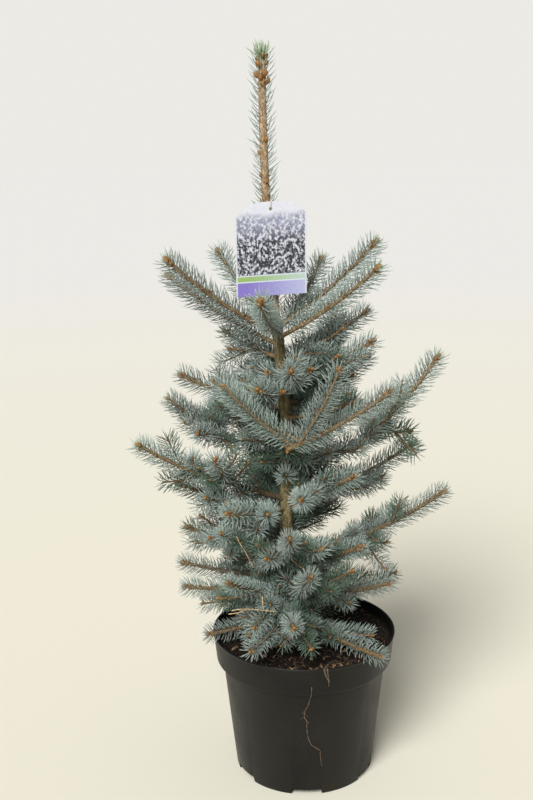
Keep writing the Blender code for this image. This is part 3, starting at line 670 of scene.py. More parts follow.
def trunk_point(height):
    """Return the trunk's middle at a height, on a smooth curve through its course."""
    count = len(TRUNK_COURSE)
    index = 0
    while index < count - 2 and height > TRUNK_COURSE[index + 1][1]:
        index += 1
    before = TRUNK_COURSE[max(index - 1, 0)]
    start = TRUNK_COURSE[index]
    end = TRUNK_COURSE[index + 1]
    after = TRUNK_COURSE[min(index + 2, count - 1)]
    span = end[1] - start[1]
    part = (height - start[1]) / span
    slope_start = (end[0] - before[0]) / (end[1] - before[1]) * span
    slope_end = (after[0] - start[0]) / (after[1] - start[1]) * span
    return np.array((curve_between(start[0], slope_start, end[0], slope_end, part), 0.0, height))


def trunk_middles(heights):
    """Return the trunk's middles at some heights, as a course."""
    return np.array([trunk_point(height) for height in heights])


def trunk_radius(height):
    """Return the trunk's radius: a flared foot, a steady taper, and the thinner leader."""
    flare = FLARE * math.exp(-(height - SOIL_TOP) / FLARE_HEIGHT)
    if height < TOP_WHORL:
        part = (height - SOIL_TOP) / (TOP_WHORL - SOIL_TOP)
        return TRUNK_FOOT_RADIUS + (TRUNK_WHORL_RADIUS - TRUNK_FOOT_RADIUS) * part + flare
    part = (height - TOP_WHORL) / (TRUNK_COURSE[-1][1] - TOP_WHORL)
    return LEADER_FOOT_RADIUS + (LEADER_TOP_RADIUS - LEADER_FOOT_RADIUS) * part


def rough_up(shape, depth, scale, stretch):
    """Raise bark on a rod: plates with cracks round them, and finer flakes on the plates."""
    shape.normal_update()
    for corner in shape.verts:
        place = Vector((corner.co.x * scale, corner.co.y * scale, corner.co.z * scale * stretch))
        near = noise.voronoi(place)[0]
        plate = 1 - math.exp(-CRACK_SHARPNESS * (near[1] - near[0]))
        flakes = noise.fractal(place * FLAKE_FINENESS, 0.9, 2.1, 4)
        corner.co += corner.normal * depth * (plate - PLATE_LEVEL + FLAKE_SHARE * flakes)


def bark_finish(name, ground, patch, crack, scale):
    """Bark: paler scales over a darker skin, with dark cracks."""
    finish, tree, shader = new_finish(name, ground, 0.88)
    scales = add_mottle(tree, ground, patch, scale, 0.53, 0.06, (1.0, 1.0, 0.5))
    cracks = add_mottle(tree, scales["Colour"], crack, scale * 1.7, 0.60, 0.05, (1.0, 1.0, 0.4))
    feed(tree, shader.inputs["Base Color"], cracks["Colour"])
    add_bump(tree, shader, scales["Height"], 0.8, 0.0009)
    return finish


def set_up_wood(name, course, radii, sides, relief, bark, node):
    """Grow a rod of wood with its bark in relief, and set it up in place of a CAD node."""
    shape = rod_shape(course, radii, sides)
    rough_up(shape, *relief)
    set_up(name, modelled_mesh(name, shape, smooth=True), bark, "bark", node)


heights = np.arange(SOIL_TOP - TRUNK_LAP, TOP_WHORL + TRUNK_LAP, TRUNK_RING)
radii = [trunk_radius(min(height, TOP_WHORL - 0.0001)) for height in heights]
trunk_bark = bark_finish("trunk_bark", BARK_OLIVE, BARK_TAN, BARK_CRACK, 300)
set_up_wood("trunk_wood", trunk_middles(heights), radii, TRUNK_SIDES, TRUNK_RELIEF, trunk_bark, "trunk")

heights = np.arange(TOP_WHORL - LEADER_LAP, LEADER_TOP + TRUNK_LAP, TRUNK_RING)
rounding = [min(1.0, LEADER_END[0] + (heights[-1] - height) / LEADER_END[1]) for height in heights]
radii = [(trunk_radius(max(height, TOP_WHORL)) + LEADER_PEGS) * end for height, end in zip(heights, rounding)]
leader_bark = bark_finish("leader_bark", LEADER_TAN, LEADER_PALE, LEADER_DARK, 330)
set_up_wood("leader_wood", trunk_middles(heights), radii, LEADER_SIDES, LEADER_RELIEF, leader_bark, "trunk")


# The boughs and shoots stand round the trunk tier by tier, and fine twigs fill them out by a rule. A row is
# the height on the trunk (cm), the bare bough, and the leafy shoot that leads on from it, each as its
# bearing, its rise (degrees) and its length (cm).
CM = 0.01
TIERS = {
    "top": (
        (68.5, None, (195, 36, 19.5)),
        (67.0, None, (165, 30, 19.0)),
        (69.5, None, (130, 36, 16.5)),
        (69.0, None, (260, 26, 15.5)),
        (69.5, None, (5, 40, 18.5)),
        (68.0, None, (335, 36, 18.5)),
        (69.0, None, (55, 36, 15.0)),
    ),
    "upper": (
        (64.5, None, (10, 28, 14.5)),
        (61.5, None, (350, 26, 14.5)),
        (63.5, None, (45, 14, 13.0)),
        (65.0, None, (140, 14, 11.0)),
        (62.0, None, (115, 0, 10.0)),
        (62.5, None, (275, 16, 12.5)),
        (59.0, None, (250, 20, 11.5)),
        (57.0, None, (25, 26, 15.5)),
        (56.0, None, (320, 20, 13.5)),
        (57.5, None, (185, 20, 16.0)),
        (58.0, None, (80, 10, 12.5)),
    ),
    "middle": (
        (50.5, (270, 22, 9.0), (345, 32, 17.0)),
        (49.5, (340, 14, 10.5), (350, 50, 18.5)),
        (49.5, (160, 16, 9.0), (178, 34, 11.0)),
        (43.5, (200, 22, 8.0), (198, 28, 16.5)),
        (51.0, (60, 14, 7.0), (60, 20, 9.0)),
        (50.5, (115, 12, 6.5), (120, 20, 9.0)),
        (41.5, None, (180, 16, 16.5)),
        (42.0, None, (235, 14, 15.0)),
        (43.5, None, (320, 26, 14.0)),
        (42.0, None, (15, 22, 22.0)),
        (43.0, None, (100, 14, 14.0)),
    ),
    "lower": (
        (35.0, (345, 14, 8.0), (342, 32, 18.5)),
        (35.5, (275, 18, 5.0), (268, 30, 12.0)),
        (34.0, (320, 14, 6.0), (320, 26, 9.0)),
        (36.0, (190, 12, 5.0), (162, 6, 11.0)),
        (37.0, None, (75, 10, 14.0)),
        (36.5, None, (120, 8, 14.0)),
    ),
    "bottom": (
        (31.0, None, (165, 2, 17.0)),
        (29.5, None, (180, 0, 16.0)),
        (28.0, None, (235, 26, 17.5)),
        (25.5, None, (200, -8, 13.5)),
        (26.5, None, (270, 12, 15.5)),
        (28.5, None, (280, 30, 17.5)),
        (27.5, None, (335, 18, 17.0)),
        (25.0, None, (315, -4, 18.0)),
        (28.0, None, (85, 6, 14.0)),
    ),
}
# The longer side shoots: tier and row of the parent, how far along its shoot each starts, then as above.
SIDE_SHOOTS = {
    ("upper", 4): ((0.4, 190, 5, 4.0),),
    ("middle", 1): ((0.06, 195, 44, 13.5), (0.10, 325, 60, 13.5), (0.14, 170, 34, 15.0)),
    ("middle", 2): ((0.25, 25, -10, 6.0), (0.08, 60, 14, 8.0)),
    ("middle", 3): ((0.2, 250, 14, 7.5), (0.08, 110, 20, 8.0)),
    ("middle", 4): ((0.06, 255, 38, 10.0), (0.3, 155, 0, 4.0)),
    ("middle", 5): ((0.15, 20, 24, 8.0), (0.15, 100, 30, 8.0)),
    ("middle", 6): ((0.15, 160, 24, 8.5), (0.15, 80, 34, 7.5)),
    ("middle", 7): ((0.5, 235, 20, 6.5),),
    ("middle", 9): ((0.35, 260, 14, 10.0), (0.4, 5, 20, 6.0)),
    ("middle", 10): ((0.4, 40, -6, 9.0),),
    ("lower", 1): ((0.06, 40, 14, 11.0), (0.06, 350, 2, 6.5)),
    ("lower", 2): ((0.12, 310, 18, 7.0), (0.12, 240, 10, 7.0)),
    ("lower", 3): ((0.2, 10, 18, 8.0),),
    ("lower", 4): ((0.12, 185, 32, 8.0), (0.2, 230, 20, 7.5), (0.08, 245, 26, 10.5)),
    ("lower", 5): ((0.35, 30, 20, 8.0), (0.35, 110, 24, 7.0)),
    ("lower", 6): ((0.35, 165, 20, 7.5),),
    ("bottom", 1): ((0.35, 115, 12, 7.5),),
    ("bottom", 2): ((0.35, 185, -16, 8.0),),
    ("bottom", 3): ((0.2, 245, -12, 8.5), (0.45, 190, -2, 6.5)),
    ("bottom", 5): ((0.2, 240, -6, 12.5), (0.3, 285, -6, 10.0)),
    ("bottom", 6): ((0.12, 310, 30, 15.0),),
    ("bottom", 7): ((0.2, 10, 12, 13.5),),
    ("bottom", 8): ((0.25, 345, -4, 9.0),),
    ("bottom", 9): ((0.3, 40, 8, 9.0), (0.3, 130, 8, 9.0)),
}
SAG = math.radians(8)
SWAY = 0.0028
COURSE_STEP = 0.004
TWIG_SEED = 5
TWIG_START = (0.30, 0.45)
TWIG_SPREAD = (38, 52)
TWIG_SHARE = 0.36
SIDE_LIFT = 6
FINE_SEED = 23
FINE_START = 0.012
FINE_PITCH = 0.019
FINE_REACH = {"upper": 0.46, "middle": 0.56, "lower": 0.54, "bottom": 0.50}
FINE_LENGTHS = (0.034, 0.060)
FINE_TURN = (25, 70)
FINE_LIFT = (-30, 34)
# Twigs straight from the trunk, all round it and then at its back: between which heights, how many, how long.
TRUNK_TWIGS = ((0.245, 0.370, 24, 0.090), (0.458, 0.545, 15, 0.070), (0.585, 0.620, 4, 0.060))
BACK_TWIGS = ((0.375, 0.455, 22, 0.085), (0.545, 0.640, 20, 0.070), (0.458, 0.540, 12, 0.085))
BACK_FAN = 0.6
GOLDEN_ANGLE = 137.5
# Openings in front, where the bare trunk shows: between which heights, and the rise of the line of sight.
OPENINGS = ((0.392, 0.453, 20), (0.557, 0.599, 15), (0.638, 0.674, 13))
OPENING_BEARING = 268
TWIGLESS_MASS = "needles_middle_1"
TWIG_CLEARANCE = 0.018
NEEDLE_CLEARANCE = 0.009
BOUGH_ROOT_RADIUS = 0.0045
BOUGH_TIP_RADIUS = 0.0030
# How much thicker a bough is at its root, and over what length.
BOUGH_FLARE = (0.7, 0.012)
BOUGH_SIDES = 14
BOUGH_RELIEF = (0.0004, 480, 0.4)
BOUGH_BARK = (0.085, 0.058, 0.032)
BOUGH_SCALES = (0.180, 0.120, 0.062)
BOUGH_CRACK = (0.030, 0.021, 0.013)


def heading(bearing, rise):
    """Return the unit direction of a bearing and a rise in degrees."""
    turn = math.radians(bearing)
    lift = math.radians(rise)
    return np.array((math.cos(turn) * math.cos(lift), math.sin(turn) * math.cos(lift), math.sin(lift)))


def grow_course(start, bearing, rise, length, sag=SAG):
    """Return the points of a shoot that sags below its chord and lifts to its tip, with slight bends."""
    chord = heading(bearing, rise)
    upward = heading(bearing, rise + 90)
    sideways = np.cross(chord, upward)
    part = np.linspace(0, 1, max(4, round(length / COURSE_STEP)))[:, None]
    hang = length * math.tan(sag) * part * (1 - part)
    sway = [noise.noise(Vector((bearing * 0.37, length * 90, p * 3.2 + rise))) for p in part[:, 0]]
    sway = SWAY * np.array(sway)[:, None] * part
    return start + chord * (length * part) - upward * hang + sideways * sway


def point_along(course, part):
    """Return the place at a part of a course, and the direction there."""
    at = part * (len(course) - 1)
    index = min(int(at), len(course) - 2)
    step = course[index + 1] - course[index]
    return course[index] + step * (at - index), step / np.linalg.norm(step)


def flared(radii, travelled, share, reach):
    """Return radii that are thicker by a share at the root, fading out with the distance from it."""
    return radii * (1 + share * np.exp(-travelled / reach))


def turn_and_lift(direction):
    """Return the bearing and the rise of a direction, in degrees."""
    return math.degrees(math.atan2(direction[1], direction[0])), math.degrees(math.asin(direction[2]))


def plan_shoots():
    """Return the boughs' courses by node, and the leafy shoots with their tier, node, course and order."""
    boughs = {}
    shoots = []
    chance = random.Random(TWIG_SEED)
    for tier, rows in TIERS.items():
        for number, (height, bough, (bearing, rise, length)) in enumerate(rows, start=1):
            start = trunk_point(height * CM)
            if bough:
                toward, lift, reach = bough
                course = grow_course(start, toward, lift, reach * CM, SAG / 2)
                boughs[f"bough_{tier}_{number}"] = course
                start = course[-1]
            stem = grow_course(start, bearing, rise, length * CM)
            node = f"needles_{tier}_{number}"
            shoots.append({"tier": tier, "node": node, "course": stem, "order": 1 if bough else 0})
            sides = SIDE_SHOOTS.get((tier, number), ())
            for part, side_bearing, side_rise, side_length in sides:
                root, _ = point_along(stem, part)
                course = grow_course(root, side_bearing, side_rise, side_length * CM)
                shoots.append({"tier": tier, "node": node, "course": course, "order": 2})
            if not sides and tier != "top":
                for side in (-1, 1):
                    root, along = point_along(stem, chance.uniform(*TWIG_START))
                    turned, lifted = turn_and_lift(along)
                    turned += side * chance.uniform(*TWIG_SPREAD)
                    course = grow_course(root, turned, lifted + SIDE_LIFT, length * CM * TWIG_SHARE)
                    shoots.append({"tier": tier, "node": node, "course": course, "order": 2})
    return boughs, shoots


def in_an_opening(points, gap):
    """Say which points hang in the crown's openings, through which the bare trunk shows at the front."""
    inside = np.zeros(len(points), bool)
    for low, high, rise in OPENINGS:
        toward = heading(OPENING_BEARING, rise)
        at_trunk = points - toward * (points[:, 1:2] / toward[1])
        beside = np.abs(at_trunk[:, 0] - trunk_point((low + high) / 2)[0]) < gap
        level = (at_trunk[:, 2] > low - gap / 2) & (at_trunk[:, 2] < high + gap / 2)
        inside |= beside & level & (points[:, 1] < 0)
    return inside


def grow_fine_twigs(boughs, shoots):
    """Add short twigs: all along the boughs, on the inner part of the shoots, and from the trunk."""
    chance = random.Random(FINE_SEED)
    stems = []
    for name, course in boughs.items():
        stems.append((name.split("_")[1], name.replace("bough", "needles"), course, 1.0))
    for shoot in shoots:
        if shoot["tier"] != "top":
            stems.append((shoot["tier"], shoot["node"], shoot["course"], FINE_REACH[shoot["tier"]]))
    for tier, node, course, reach in stems:
        length = (len(course) - 1) * COURSE_STEP
        side = chance.choice((-1, 1))
        for travelled in np.arange(FINE_START, length * reach, FINE_PITCH):
            side = -side
            root, along = point_along(course, travelled / length)
            turned, lifted = turn_and_lift(along)
            turned += side * chance.uniform(*FINE_TURN)
            lifted += chance.uniform(*FINE_LIFT)
            fine = grow_course(root, turned, lifted, chance.uniform(*FINE_LENGTHS))
            if node != TWIGLESS_MASS and not in_an_opening(fine, TWIG_CLEARANCE).any():
                shoots.append({"tier": tier, "node": node, "course": fine, "order": 3})
    for row in TRUNK_TWIGS + BACK_TWIGS:
        low, high, count, reach = row
        tier = "bottom" if high < 0.45 else "middle" if high < 0.56 else "upper"
        for index in range(count):
            root = trunk_point(low + (high - low) * (index + chance.random()) / count)
            turned = index * GOLDEN_ANGLE + chance.uniform(-15, 15)
            if row in BACK_TWIGS:
                turned = 90 + (turned % 180 - 90) * BACK_FAN
            fine = grow_course(root, turned, chance.uniform(-4, 22), reach * chance.uniform(0.7, 1.2))
            if not in_an_opening(fine, TWIG_CLEARANCE).any():
                shoots.append({"tier": tier, "node": f"needles_{tier}_1", "course": fine, "order": 3})


boughs, shoots = plan_shoots()
grow_fine_twigs(boughs, shoots)
bough_bark = bark_finish("bough_bark", BOUGH_BARK, BOUGH_SCALES, BOUGH_CRACK, 420)
for name, course in boughs.items():
    travelled = np.linspace(0, len(course) * COURSE_STEP, len(course))
    radii = np.linspace(BOUGH_ROOT_RADIUS, BOUGH_TIP_RADIUS, len(course))
    radii = flared(radii, travelled, *BOUGH_FLARE)
    set_up_wood(name + "_wood", course, radii, BOUGH_SIDES, BOUGH_RELIEF, bough_bark, name)


# The shoots' wood is this year's growth: thin orange-brown stems, ridged by the pegs that the needles stand
# on, and thicker where they leave older wood. On the fine twigs it is duller, and low in the crown the stems
# take the same darker bark as painted shade.
SHOOT_BROWN = (0.200, 0.132, 0.062)
SHOOT_PALE = (0.340, 0.236, 0.122)
SHOOT_DARK = (0.088, 0.052, 0.024)
TWIG_BROWN = (0.165, 0.106, 0.050)
TWIG_DARK = (0.062, 0.036, 0.016)
LOW_TIERS = ("lower", "bottom")
STEM_ROOT_RADIUS = 0.0032
STEM_TIP_RADIUS = 0.0025
STEM_SLIMNESS = (1.0, 1.0, 0.72, 0.52)
STEM_FLARE = (0.55, 0.008)
STEM_SIDES = 7


def stem_radii(shoot):
    """Return a stem's radii along its course, by its order of branching."""
    travelled = shoot["travelled"]
    taper = STEM_ROOT_RADIUS + (STEM_TIP_RADIUS - STEM_ROOT_RADIUS) * travelled / shoot["length"]
    return flared(taper * STEM_SLIMNESS[shoot["order"]], travelled, *STEM_FLARE)


def measure(stem):
    """Note how far along a stem each point of its course lies, and the stem's length."""
    steps = np.linalg.norm(np.diff(stem["course"], axis=0), axis=1)
    stem["travelled"] = np.concatenate([[0.0], np.cumsum(steps)])
    stem["length"] = stem["travelled"][-1]


young_bark = bark_finish("young_bark", SHOOT_BROWN, SHOOT_PALE, SHOOT_DARK, 520)
twig_and_shade_bark = bark_finish("twig_and_shade_bark", TWIG_BROWN, SHOOT_BROWN, TWIG_DARK, 520)
for shoot in shoots:
    measure(shoot)
for tier in TIERS:
    for kind, bark, orders in (("stems_", young_bark, (0, 1, 2)), ("twigs_", twig_and_shade_bark, (3,))):
        grown = [shoot for shoot in shoots if shoot["tier"] == tier and shoot["order"] in orders]
        if grown:
            rods = [rod_arrays(shoot["course"], stem_radii(shoot), STEM_SIDES) for shoot in grown]
            dressed = sorted({shoot["node"] for shoot in grown})
            # Painted shade: the stems low in the crown take the darker twig bark.
            bark = twig_and_shade_bark if tier in LOW_TIERS else bark
            set_up(kind + tier, join_rods(kind + tier, rods), bark, "bark", *dressed)


# The needles stand all round each stem on little pegs, stiff and sharp, and curve towards the tip. A waxy
# bloom makes the young ones blue-grey, older ones inside the crown are greener, and the newest are fresh. The
# greener tone is painted darker than the needles' own colour, as painted shade, and is dealt out most on the
# fine twigs, on the old wood and low in the crown, to paint the shade inside the crown.
GOLDEN_TURN = math.radians(137.508)
NEEDLE_LENGTH = 0.0220
NEEDLE_SLIMNESS = 0.067
NEEDLE_BENDS = (6, 18, 32)
# The bend comes bit by bit: a share of the needle's length, and the part of the bend that it stands at.
NEEDLE_PARTS = ((0.30, 0.1), (0.40, 0.55), (0.30, 1.0))
NEEDLE_TAPER = (0.62, 1.0, 0.84, 0.03)
NEEDLE_SEED = 7
TIER_NEEDLES_PER_CM = {"top": 17, "upper": 17, "middle": 18, "lower": 20, "bottom": 20}
OLD_NEEDLES_PER_CM = 11
LEADER_NEEDLES_PER_CM = 9
LEADER_PEGS_PER_CM = 40
BARE_STEM = 0.016
BARE_SIDE_STEM = 0.008
LEAN_ROOT = 76
LEAN_MIDDLE = 67
LEAN_TIP = 42
LEADER_LEAN = 54
# How strongly needles turn upward on a level shoot, how strongly they curl up and on, and how unevenly.
UPTURN = 0.22
CURL_UP = 0.65
CURL_ON = 0.75
UNEVENNESS = 0.06
# How much shorter the needles are at a shoot's tip, and how long the first ones are.
TIP_SHORTENING = 0.25
FIRST_NEEDLE_SHARE = 0.72
# A tuft rings the end buds: how far back along the stem it reaches, and its widest lean in degrees.
TUFT_NEEDLES = 13
TUFT_LENGTH = 0.015
TUFT = (0.004, 44)
FRESH_TUFT_SHARE = 0.3
LEADER_TUFT_LENGTH = 0.0225
LEADER_TUFTS = ((0.003, 34), (0.008, 48), (0.014, 58), (0.018, 60))
PEG_LENGTH = 0.0020
PEG_OUTLINE = ((-0.6, 0.62), (0.1, 0.50), (1.0, 0.30))
UPWARD = np.array((0.0, 0.0, 1.0))
# Each tone's colour where the bloom is whole, and where it has rubbed off.
NEEDLE_TONES = {
    "blue": ((0.440, 0.530, 0.485), (0.285, 0.360, 0.320)),
    "grey": ((0.385, 0.450, 0.415), (0.240, 0.295, 0.265)),
    # The greener tone holds painted shade: it is darker than older needles are, for the shade inside the
    # crown.
    "green": ((0.165, 0.240, 0.180), (0.100, 0.155, 0.108)),
    "fresh": ((0.400, 0.510, 0.320), (0.290, 0.390, 0.230)),
}
# Each kind of shoot's shares of the blue, grey, greener and fresh tones. The larger greener shares on fine
# twigs and on low shoots are painted shade, deep in the crown and low down.
TONE_SHARES = {
    "shoot": (0.54, 0.40, 0.06, 0.0),
    "twig": (0.27, 0.34, 0.39, 0.0),
    "low_shoot": (0.30, 0.36, 0.34, 0.0),
    "low_twig": (0.12, 0.26, 0.62, 0.0),
}
TIER_LENGTHS = {"top": 1.06, "upper": 1.0, "middle": 1.0, "lower": 0.88, "bottom": 0.86}
TWIG_LENGTH_SHARE = 0.92
OLD_LENGTH_SHARE = 0.85
# The label's size and place, which the needles keep clear of.
TAG_WIDTH = 0.099
TAG_HEIGHT = 0.131
TAG_HOLE_DROP = 0.010
TAG_HOLE = (-0.044, -0.022, 0.867)


def needle_shape(bend):
    """Return the arrays of a needle one unit long, up Z at its foot and bent towards Y by so many degrees."""
    place = np.zeros(3)
    course = [place]
    for share, part in NEEDLE_PARTS:
        turn = math.radians(bend) * part
        place = place + share * np.array((0.0, math.sin(turn), math.cos(turn)))
        course.append(place)
    half = NEEDLE_SLIMNESS / 2
    shape = rod_shape(np.array(course), [taper * half for taper in NEEDLE_TAPER], 3)
    bmesh.ops.remove_doubles(shape, verts=shape.verts, dist=half / 6)
    return mesh_arrays(shape)


def upright_rod(outline, sides):
    """Return the arrays of a rod up Z, from an outline of heights and radii."""
    course = np.array([(0.0, 0.0, height) for height, _ in outline])
    return rod_arrays(course, [radius for _, radius in outline], sides)


def unit(vectors):
    """Return vectors scaled to a length of one."""
    return vectors / np.linalg.norm(vectors, axis=1)[:, None]


def places_along(shoot, travelled):
    """Return the places and directions after some distances along a shoot."""
    course = shoot["course"]
    spots = []
    for ahead in (-COURSE_STEP, 0.0, COURSE_STEP):
        sides = [np.interp(travelled + ahead, shoot["travelled"], course[:, axis]) for axis in range(3)]
        spots.append(np.stack(sides, axis=1))
    return spots[1], unit(spots[2] - spots[0])


def outward(along, turn):
    """Return unit directions square to a stem's own directions, each turned round it."""
    side = unit(np.cross(along, UPWARD + 0.01 * along[:, ::-1]))
    return np.cos(turn)[:, None] * side + np.sin(turn)[:, None] * np.cross(side, along)


def clear_of_pot_and_tag(feet, tips):
    """Say which needles keep out of the pot's wall and the compost, and don't cross the label."""
    out = np.hypot(tips[:, 0], tips[:, 1])
    within = (tips[:, 2] < POT_HEIGHT + 0.0015) & (out < RIM_RADIUS + 0.003)
    above_soil = (tips[:, 2] > SOIL_TOP + 0.004) & (out < RIM_RADIUS - 0.006)
    across = (feet[:, 1] - TAG_HOLE[1]) * (tips[:, 1] - TAG_HOLE[1] + 0.0015) < 0
    middle = (feet + tips) / 2
    over_tag = np.abs(middle[:, 0] - TAG_HOLE[0]) < TAG_WIDTH / 2 + 0.012
    beside_tag = np.abs(middle[:, 2] - TAG_HOLE[2] + TAG_HEIGHT / 2 - TAG_HOLE_DROP) < TAG_HEIGHT / 2 + 0.006
    return ~(within & ~above_soil) & ~(across & over_tag & beside_tag)


def keep_clear(bases, feet):
    """Leave out the needles that would stand in the pot, the label or an opening."""
    tips = feet + bases[:, :, 2]
    keep = clear_of_pot_and_tag(feet, tips) & ~in_an_opening((feet + tips) / 2, NEEDLE_CLEARANCE)
    return bases[keep], feet[keep]


def stand_needles(shoot, rng, per_cm, length, bare, lean_middle=LEAN_MIDDLE):
    """Return the bases and feet of the needles that spiral up a shoot."""
    spacing = CM / per_cm
    count = max(1, int((shoot["length"] - bare) / spacing))
    travelled = bare + spacing * (np.arange(count) + rng.uniform(0.1, 0.9, count))
    part = travelled / shoot["length"]
    to_tip = shoot["length"] - travelled
    middles, along = places_along(shoot, travelled)
    out = outward(along, np.arange(count) * GOLDEN_TURN + rng.normal(0, 0.10, count))
    lean = lean_middle + (LEAN_ROOT - LEAN_MIDDLE) * (1 - part) ** 2
    lean = LEAN_TIP + (lean - LEAN_TIP) * (1 - np.exp(-(to_tip + 0.0010) / 0.004))
    lean = np.radians(lean + rng.normal(0, 3, count))[:, None]
    flat = 1 - along[:, 2:3] ** 2
    ahead = unit(along * np.cos(lean) + out * np.sin(lean) + UPWARD * flat * UPTURN)
    bend = unit(along * CURL_ON + UPWARD * CURL_UP * flat + rng.normal(0, UNEVENNESS, (count, 3)))
    across = unit(np.cross(bend, ahead))
    size = length * (1 + rng.normal(0, UNEVENNESS, count)) * (1 - TIP_SHORTENING * np.exp(-to_tip / 0.006))
    grown = np.clip((travelled - bare) / 0.02, 0, 1)
    size = size * (FIRST_NEEDLE_SHARE + (1 - FIRST_NEEDLE_SHARE) * grown)
    bases = np.stack([across, np.cross(ahead, across), ahead], axis=2) * size[:, None, None]
    return keep_clear(bases, middles + out * shoot["radius"] * 0.9 + ahead * PEG_LENGTH * 0.5)


def stand_tuft(shoot, rng, length=TUFT_LENGTH, depth=TUFT[0], widest=TUFT[1]):
    """Return the bases and feet of the short forward needles that ring a shoot's end buds."""
    end = np.full(TUFT_NEEDLES, shoot["length"] - 0.0005) - rng.uniform(0, depth, TUFT_NEEDLES)
    middles, along = places_along(shoot, end)
    out = outward(along, np.arange(TUFT_NEEDLES) * GOLDEN_TURN)
    lean = np.radians(rng.uniform(6, widest, TUFT_NEEDLES))[:, None]
    ahead = unit(along * np.cos(lean) + out * np.sin(lean))
    across = unit(np.cross(along + UPWARD * 0.3, ahead))
    size = length * rng.uniform(0.75, 1.1, TUFT_NEEDLES)
    bases = np.stack([across, np.cross(ahead, across), ahead], axis=2) * size[:, None, None]
    return keep_clear(bases, middles + out * shoot["radius"] * 0.7)


def needle_finish(tone):
    """A dull waxy needle, paler where the bloom is whole and greener where it has rubbed off."""
    bloom, rubbed = NEEDLE_TONES[tone]
    wear = (rubbed, 55, 0.50, 0.14)
    finish, tree, shader, patches = mottled_finish("needles_" + tone, bloom, 0.55, wear, specular=0.35)
    feed(tree, shader.inputs["Roughness"], rescale(tree, patches["Height"], 0.3, 0.7, 0.48, 0.68))
    return finish


def grow_sprays(name, batch, rng):
    """Join a batch of needles into one piece, with the three bends dealt out at random."""
    bases = np.concatenate([sprays[0] for sprays in batch])
    feet = np.concatenate([sprays[1] for sprays in batch])
    kind = rng.integers(0, len(NEEDLE_BENDS), len(feet))
    shares = [(shape, bases[kind == index], feet[kind == index]) for index, shape in enumerate(needle_kinds)]
    return strew(name, shares)


needle_kinds = [needle_shape(bend) for bend in NEEDLE_BENDS]
needle_finishes = {tone: needle_finish(tone) for tone in NEEDLE_TONES}
rng = np.random.default_rng(NEEDLE_SEED)
pegged = []
for tier in TIERS:
    batches = {tone: [] for tone in NEEDLE_TONES}
    masses = {tone: set() for tone in NEEDLE_TONES}
    for shoot in shoots:
        if shoot["tier"] != tier:
            continue
        fine = shoot["order"] == 3
        shoot["radius"] = 0.5 * (STEM_ROOT_RADIUS + STEM_TIP_RADIUS)
        bare = BARE_SIDE_STEM if shoot["order"] > 0 else BARE_STEM
        size = NEEDLE_LENGTH * TIER_LENGTHS[tier] * (TWIG_LENGTH_SHARE if fine else 1.0)
        # Fine twigs and shoots low in the crown draw more of the darker greener tone, as painted shade.
        kind = ("low_" if tier in LOW_TIERS else "") + ("twig" if fine else "shoot")
        tone = rng.choice(list(NEEDLE_TONES), p=TONE_SHARES[kind])
        spray = stand_needles(shoot, rng, TIER_NEEDLES_PER_CM[tier], size, bare)
        batches[tone].append(spray)
        masses[tone].add(shoot["node"])
        if shoot["order"] < 2:
            pegged.append(spray)
            end_tone = "fresh" if tier == "top" or rng.random() < FRESH_TUFT_SHARE else tone
            batches[end_tone].append(stand_tuft(shoot, rng))
            masses[end_tone].add(shoot["node"])
    # The needles on the boughs' old wood all take the darker greener tone: older needles, with painted shade.
    for node, course in boughs.items():
        if node.startswith("bough_" + tier):
            old_wood = {"course": course, "radius": BOUGH_TIP_RADIUS}
            measure(old_wood)
            old_length = NEEDLE_LENGTH * OLD_LENGTH_SHARE
            batches["green"].append(stand_needles(old_wood, rng, OLD_NEEDLES_PER_CM, old_length, BARE_STEM))
            masses["green"].add(node.replace("bough", "needles"))
    for tone, batch in batches.items():
        if batch:
            name = f"sprays_{tier}_{tone}"
            sprays = grow_sprays(name, batch, rng)
            set_up(name, sprays, needle_finishes[tone], "needle_blue_green", *sorted(masses[tone]))

leader_heights = np.arange(LEADER_FOOT, LEADER_TOP + 0.006, COURSE_STEP)
leader = {"course": trunk_middles(leader_heights), "radius": LEADER_TOP_RADIUS}
leader["travelled"] = np.arange(len(leader_heights)) * COURSE_STEP
leader["length"] = leader["travelled"][-1]
spray = stand_needles(leader, rng, LEADER_NEEDLES_PER_CM, NEEDLE_LENGTH, 0.0, LEADER_LEAN)
leader_sprays = grow_sprays("sprays_leader", [spray], rng)
set_up("sprays_leader", leader_sprays, needle_finishes["blue"], "needle_blue_green", "needles_leader")
tufts = [stand_tuft(leader, rng, LEADER_TUFT_LENGTH, depth, widest) for depth, widest in LEADER_TUFTS]
leader_tuft = grow_sprays("tuft_leader", tufts, rng)
set_up("tuft_leader", leader_tuft, needle_finishes["fresh"], "needle_blue_green", "needles_leader")

peg = upright_rod(PEG_OUTLINE, 3)
more_pegs = stand_needles(leader, rng, LEADER_PEGS_PER_CM, NEEDLE_LENGTH, 0.0, LEADER_LEAN)
peg_sets = {"pegs_shoots": (pegged, young_bark), "pegs_leader": ([spray, more_pegs], leader_bark)}
for name, (sets, bark) in peg_sets.items():
    bases = np.concatenate([turned for turned, _ in sets])
    feet = np.concatenate([placed for _, placed in sets])
    bases = bases / np.linalg.norm(bases[:, :, 2], axis=1)[:, None, None]
    peg_mesh = strew(name, [(peg, bases * PEG_LENGTH, feet - bases[:, :, 2] * PEG_LENGTH)])
    set_up(name, peg_mesh, bark, "bark")


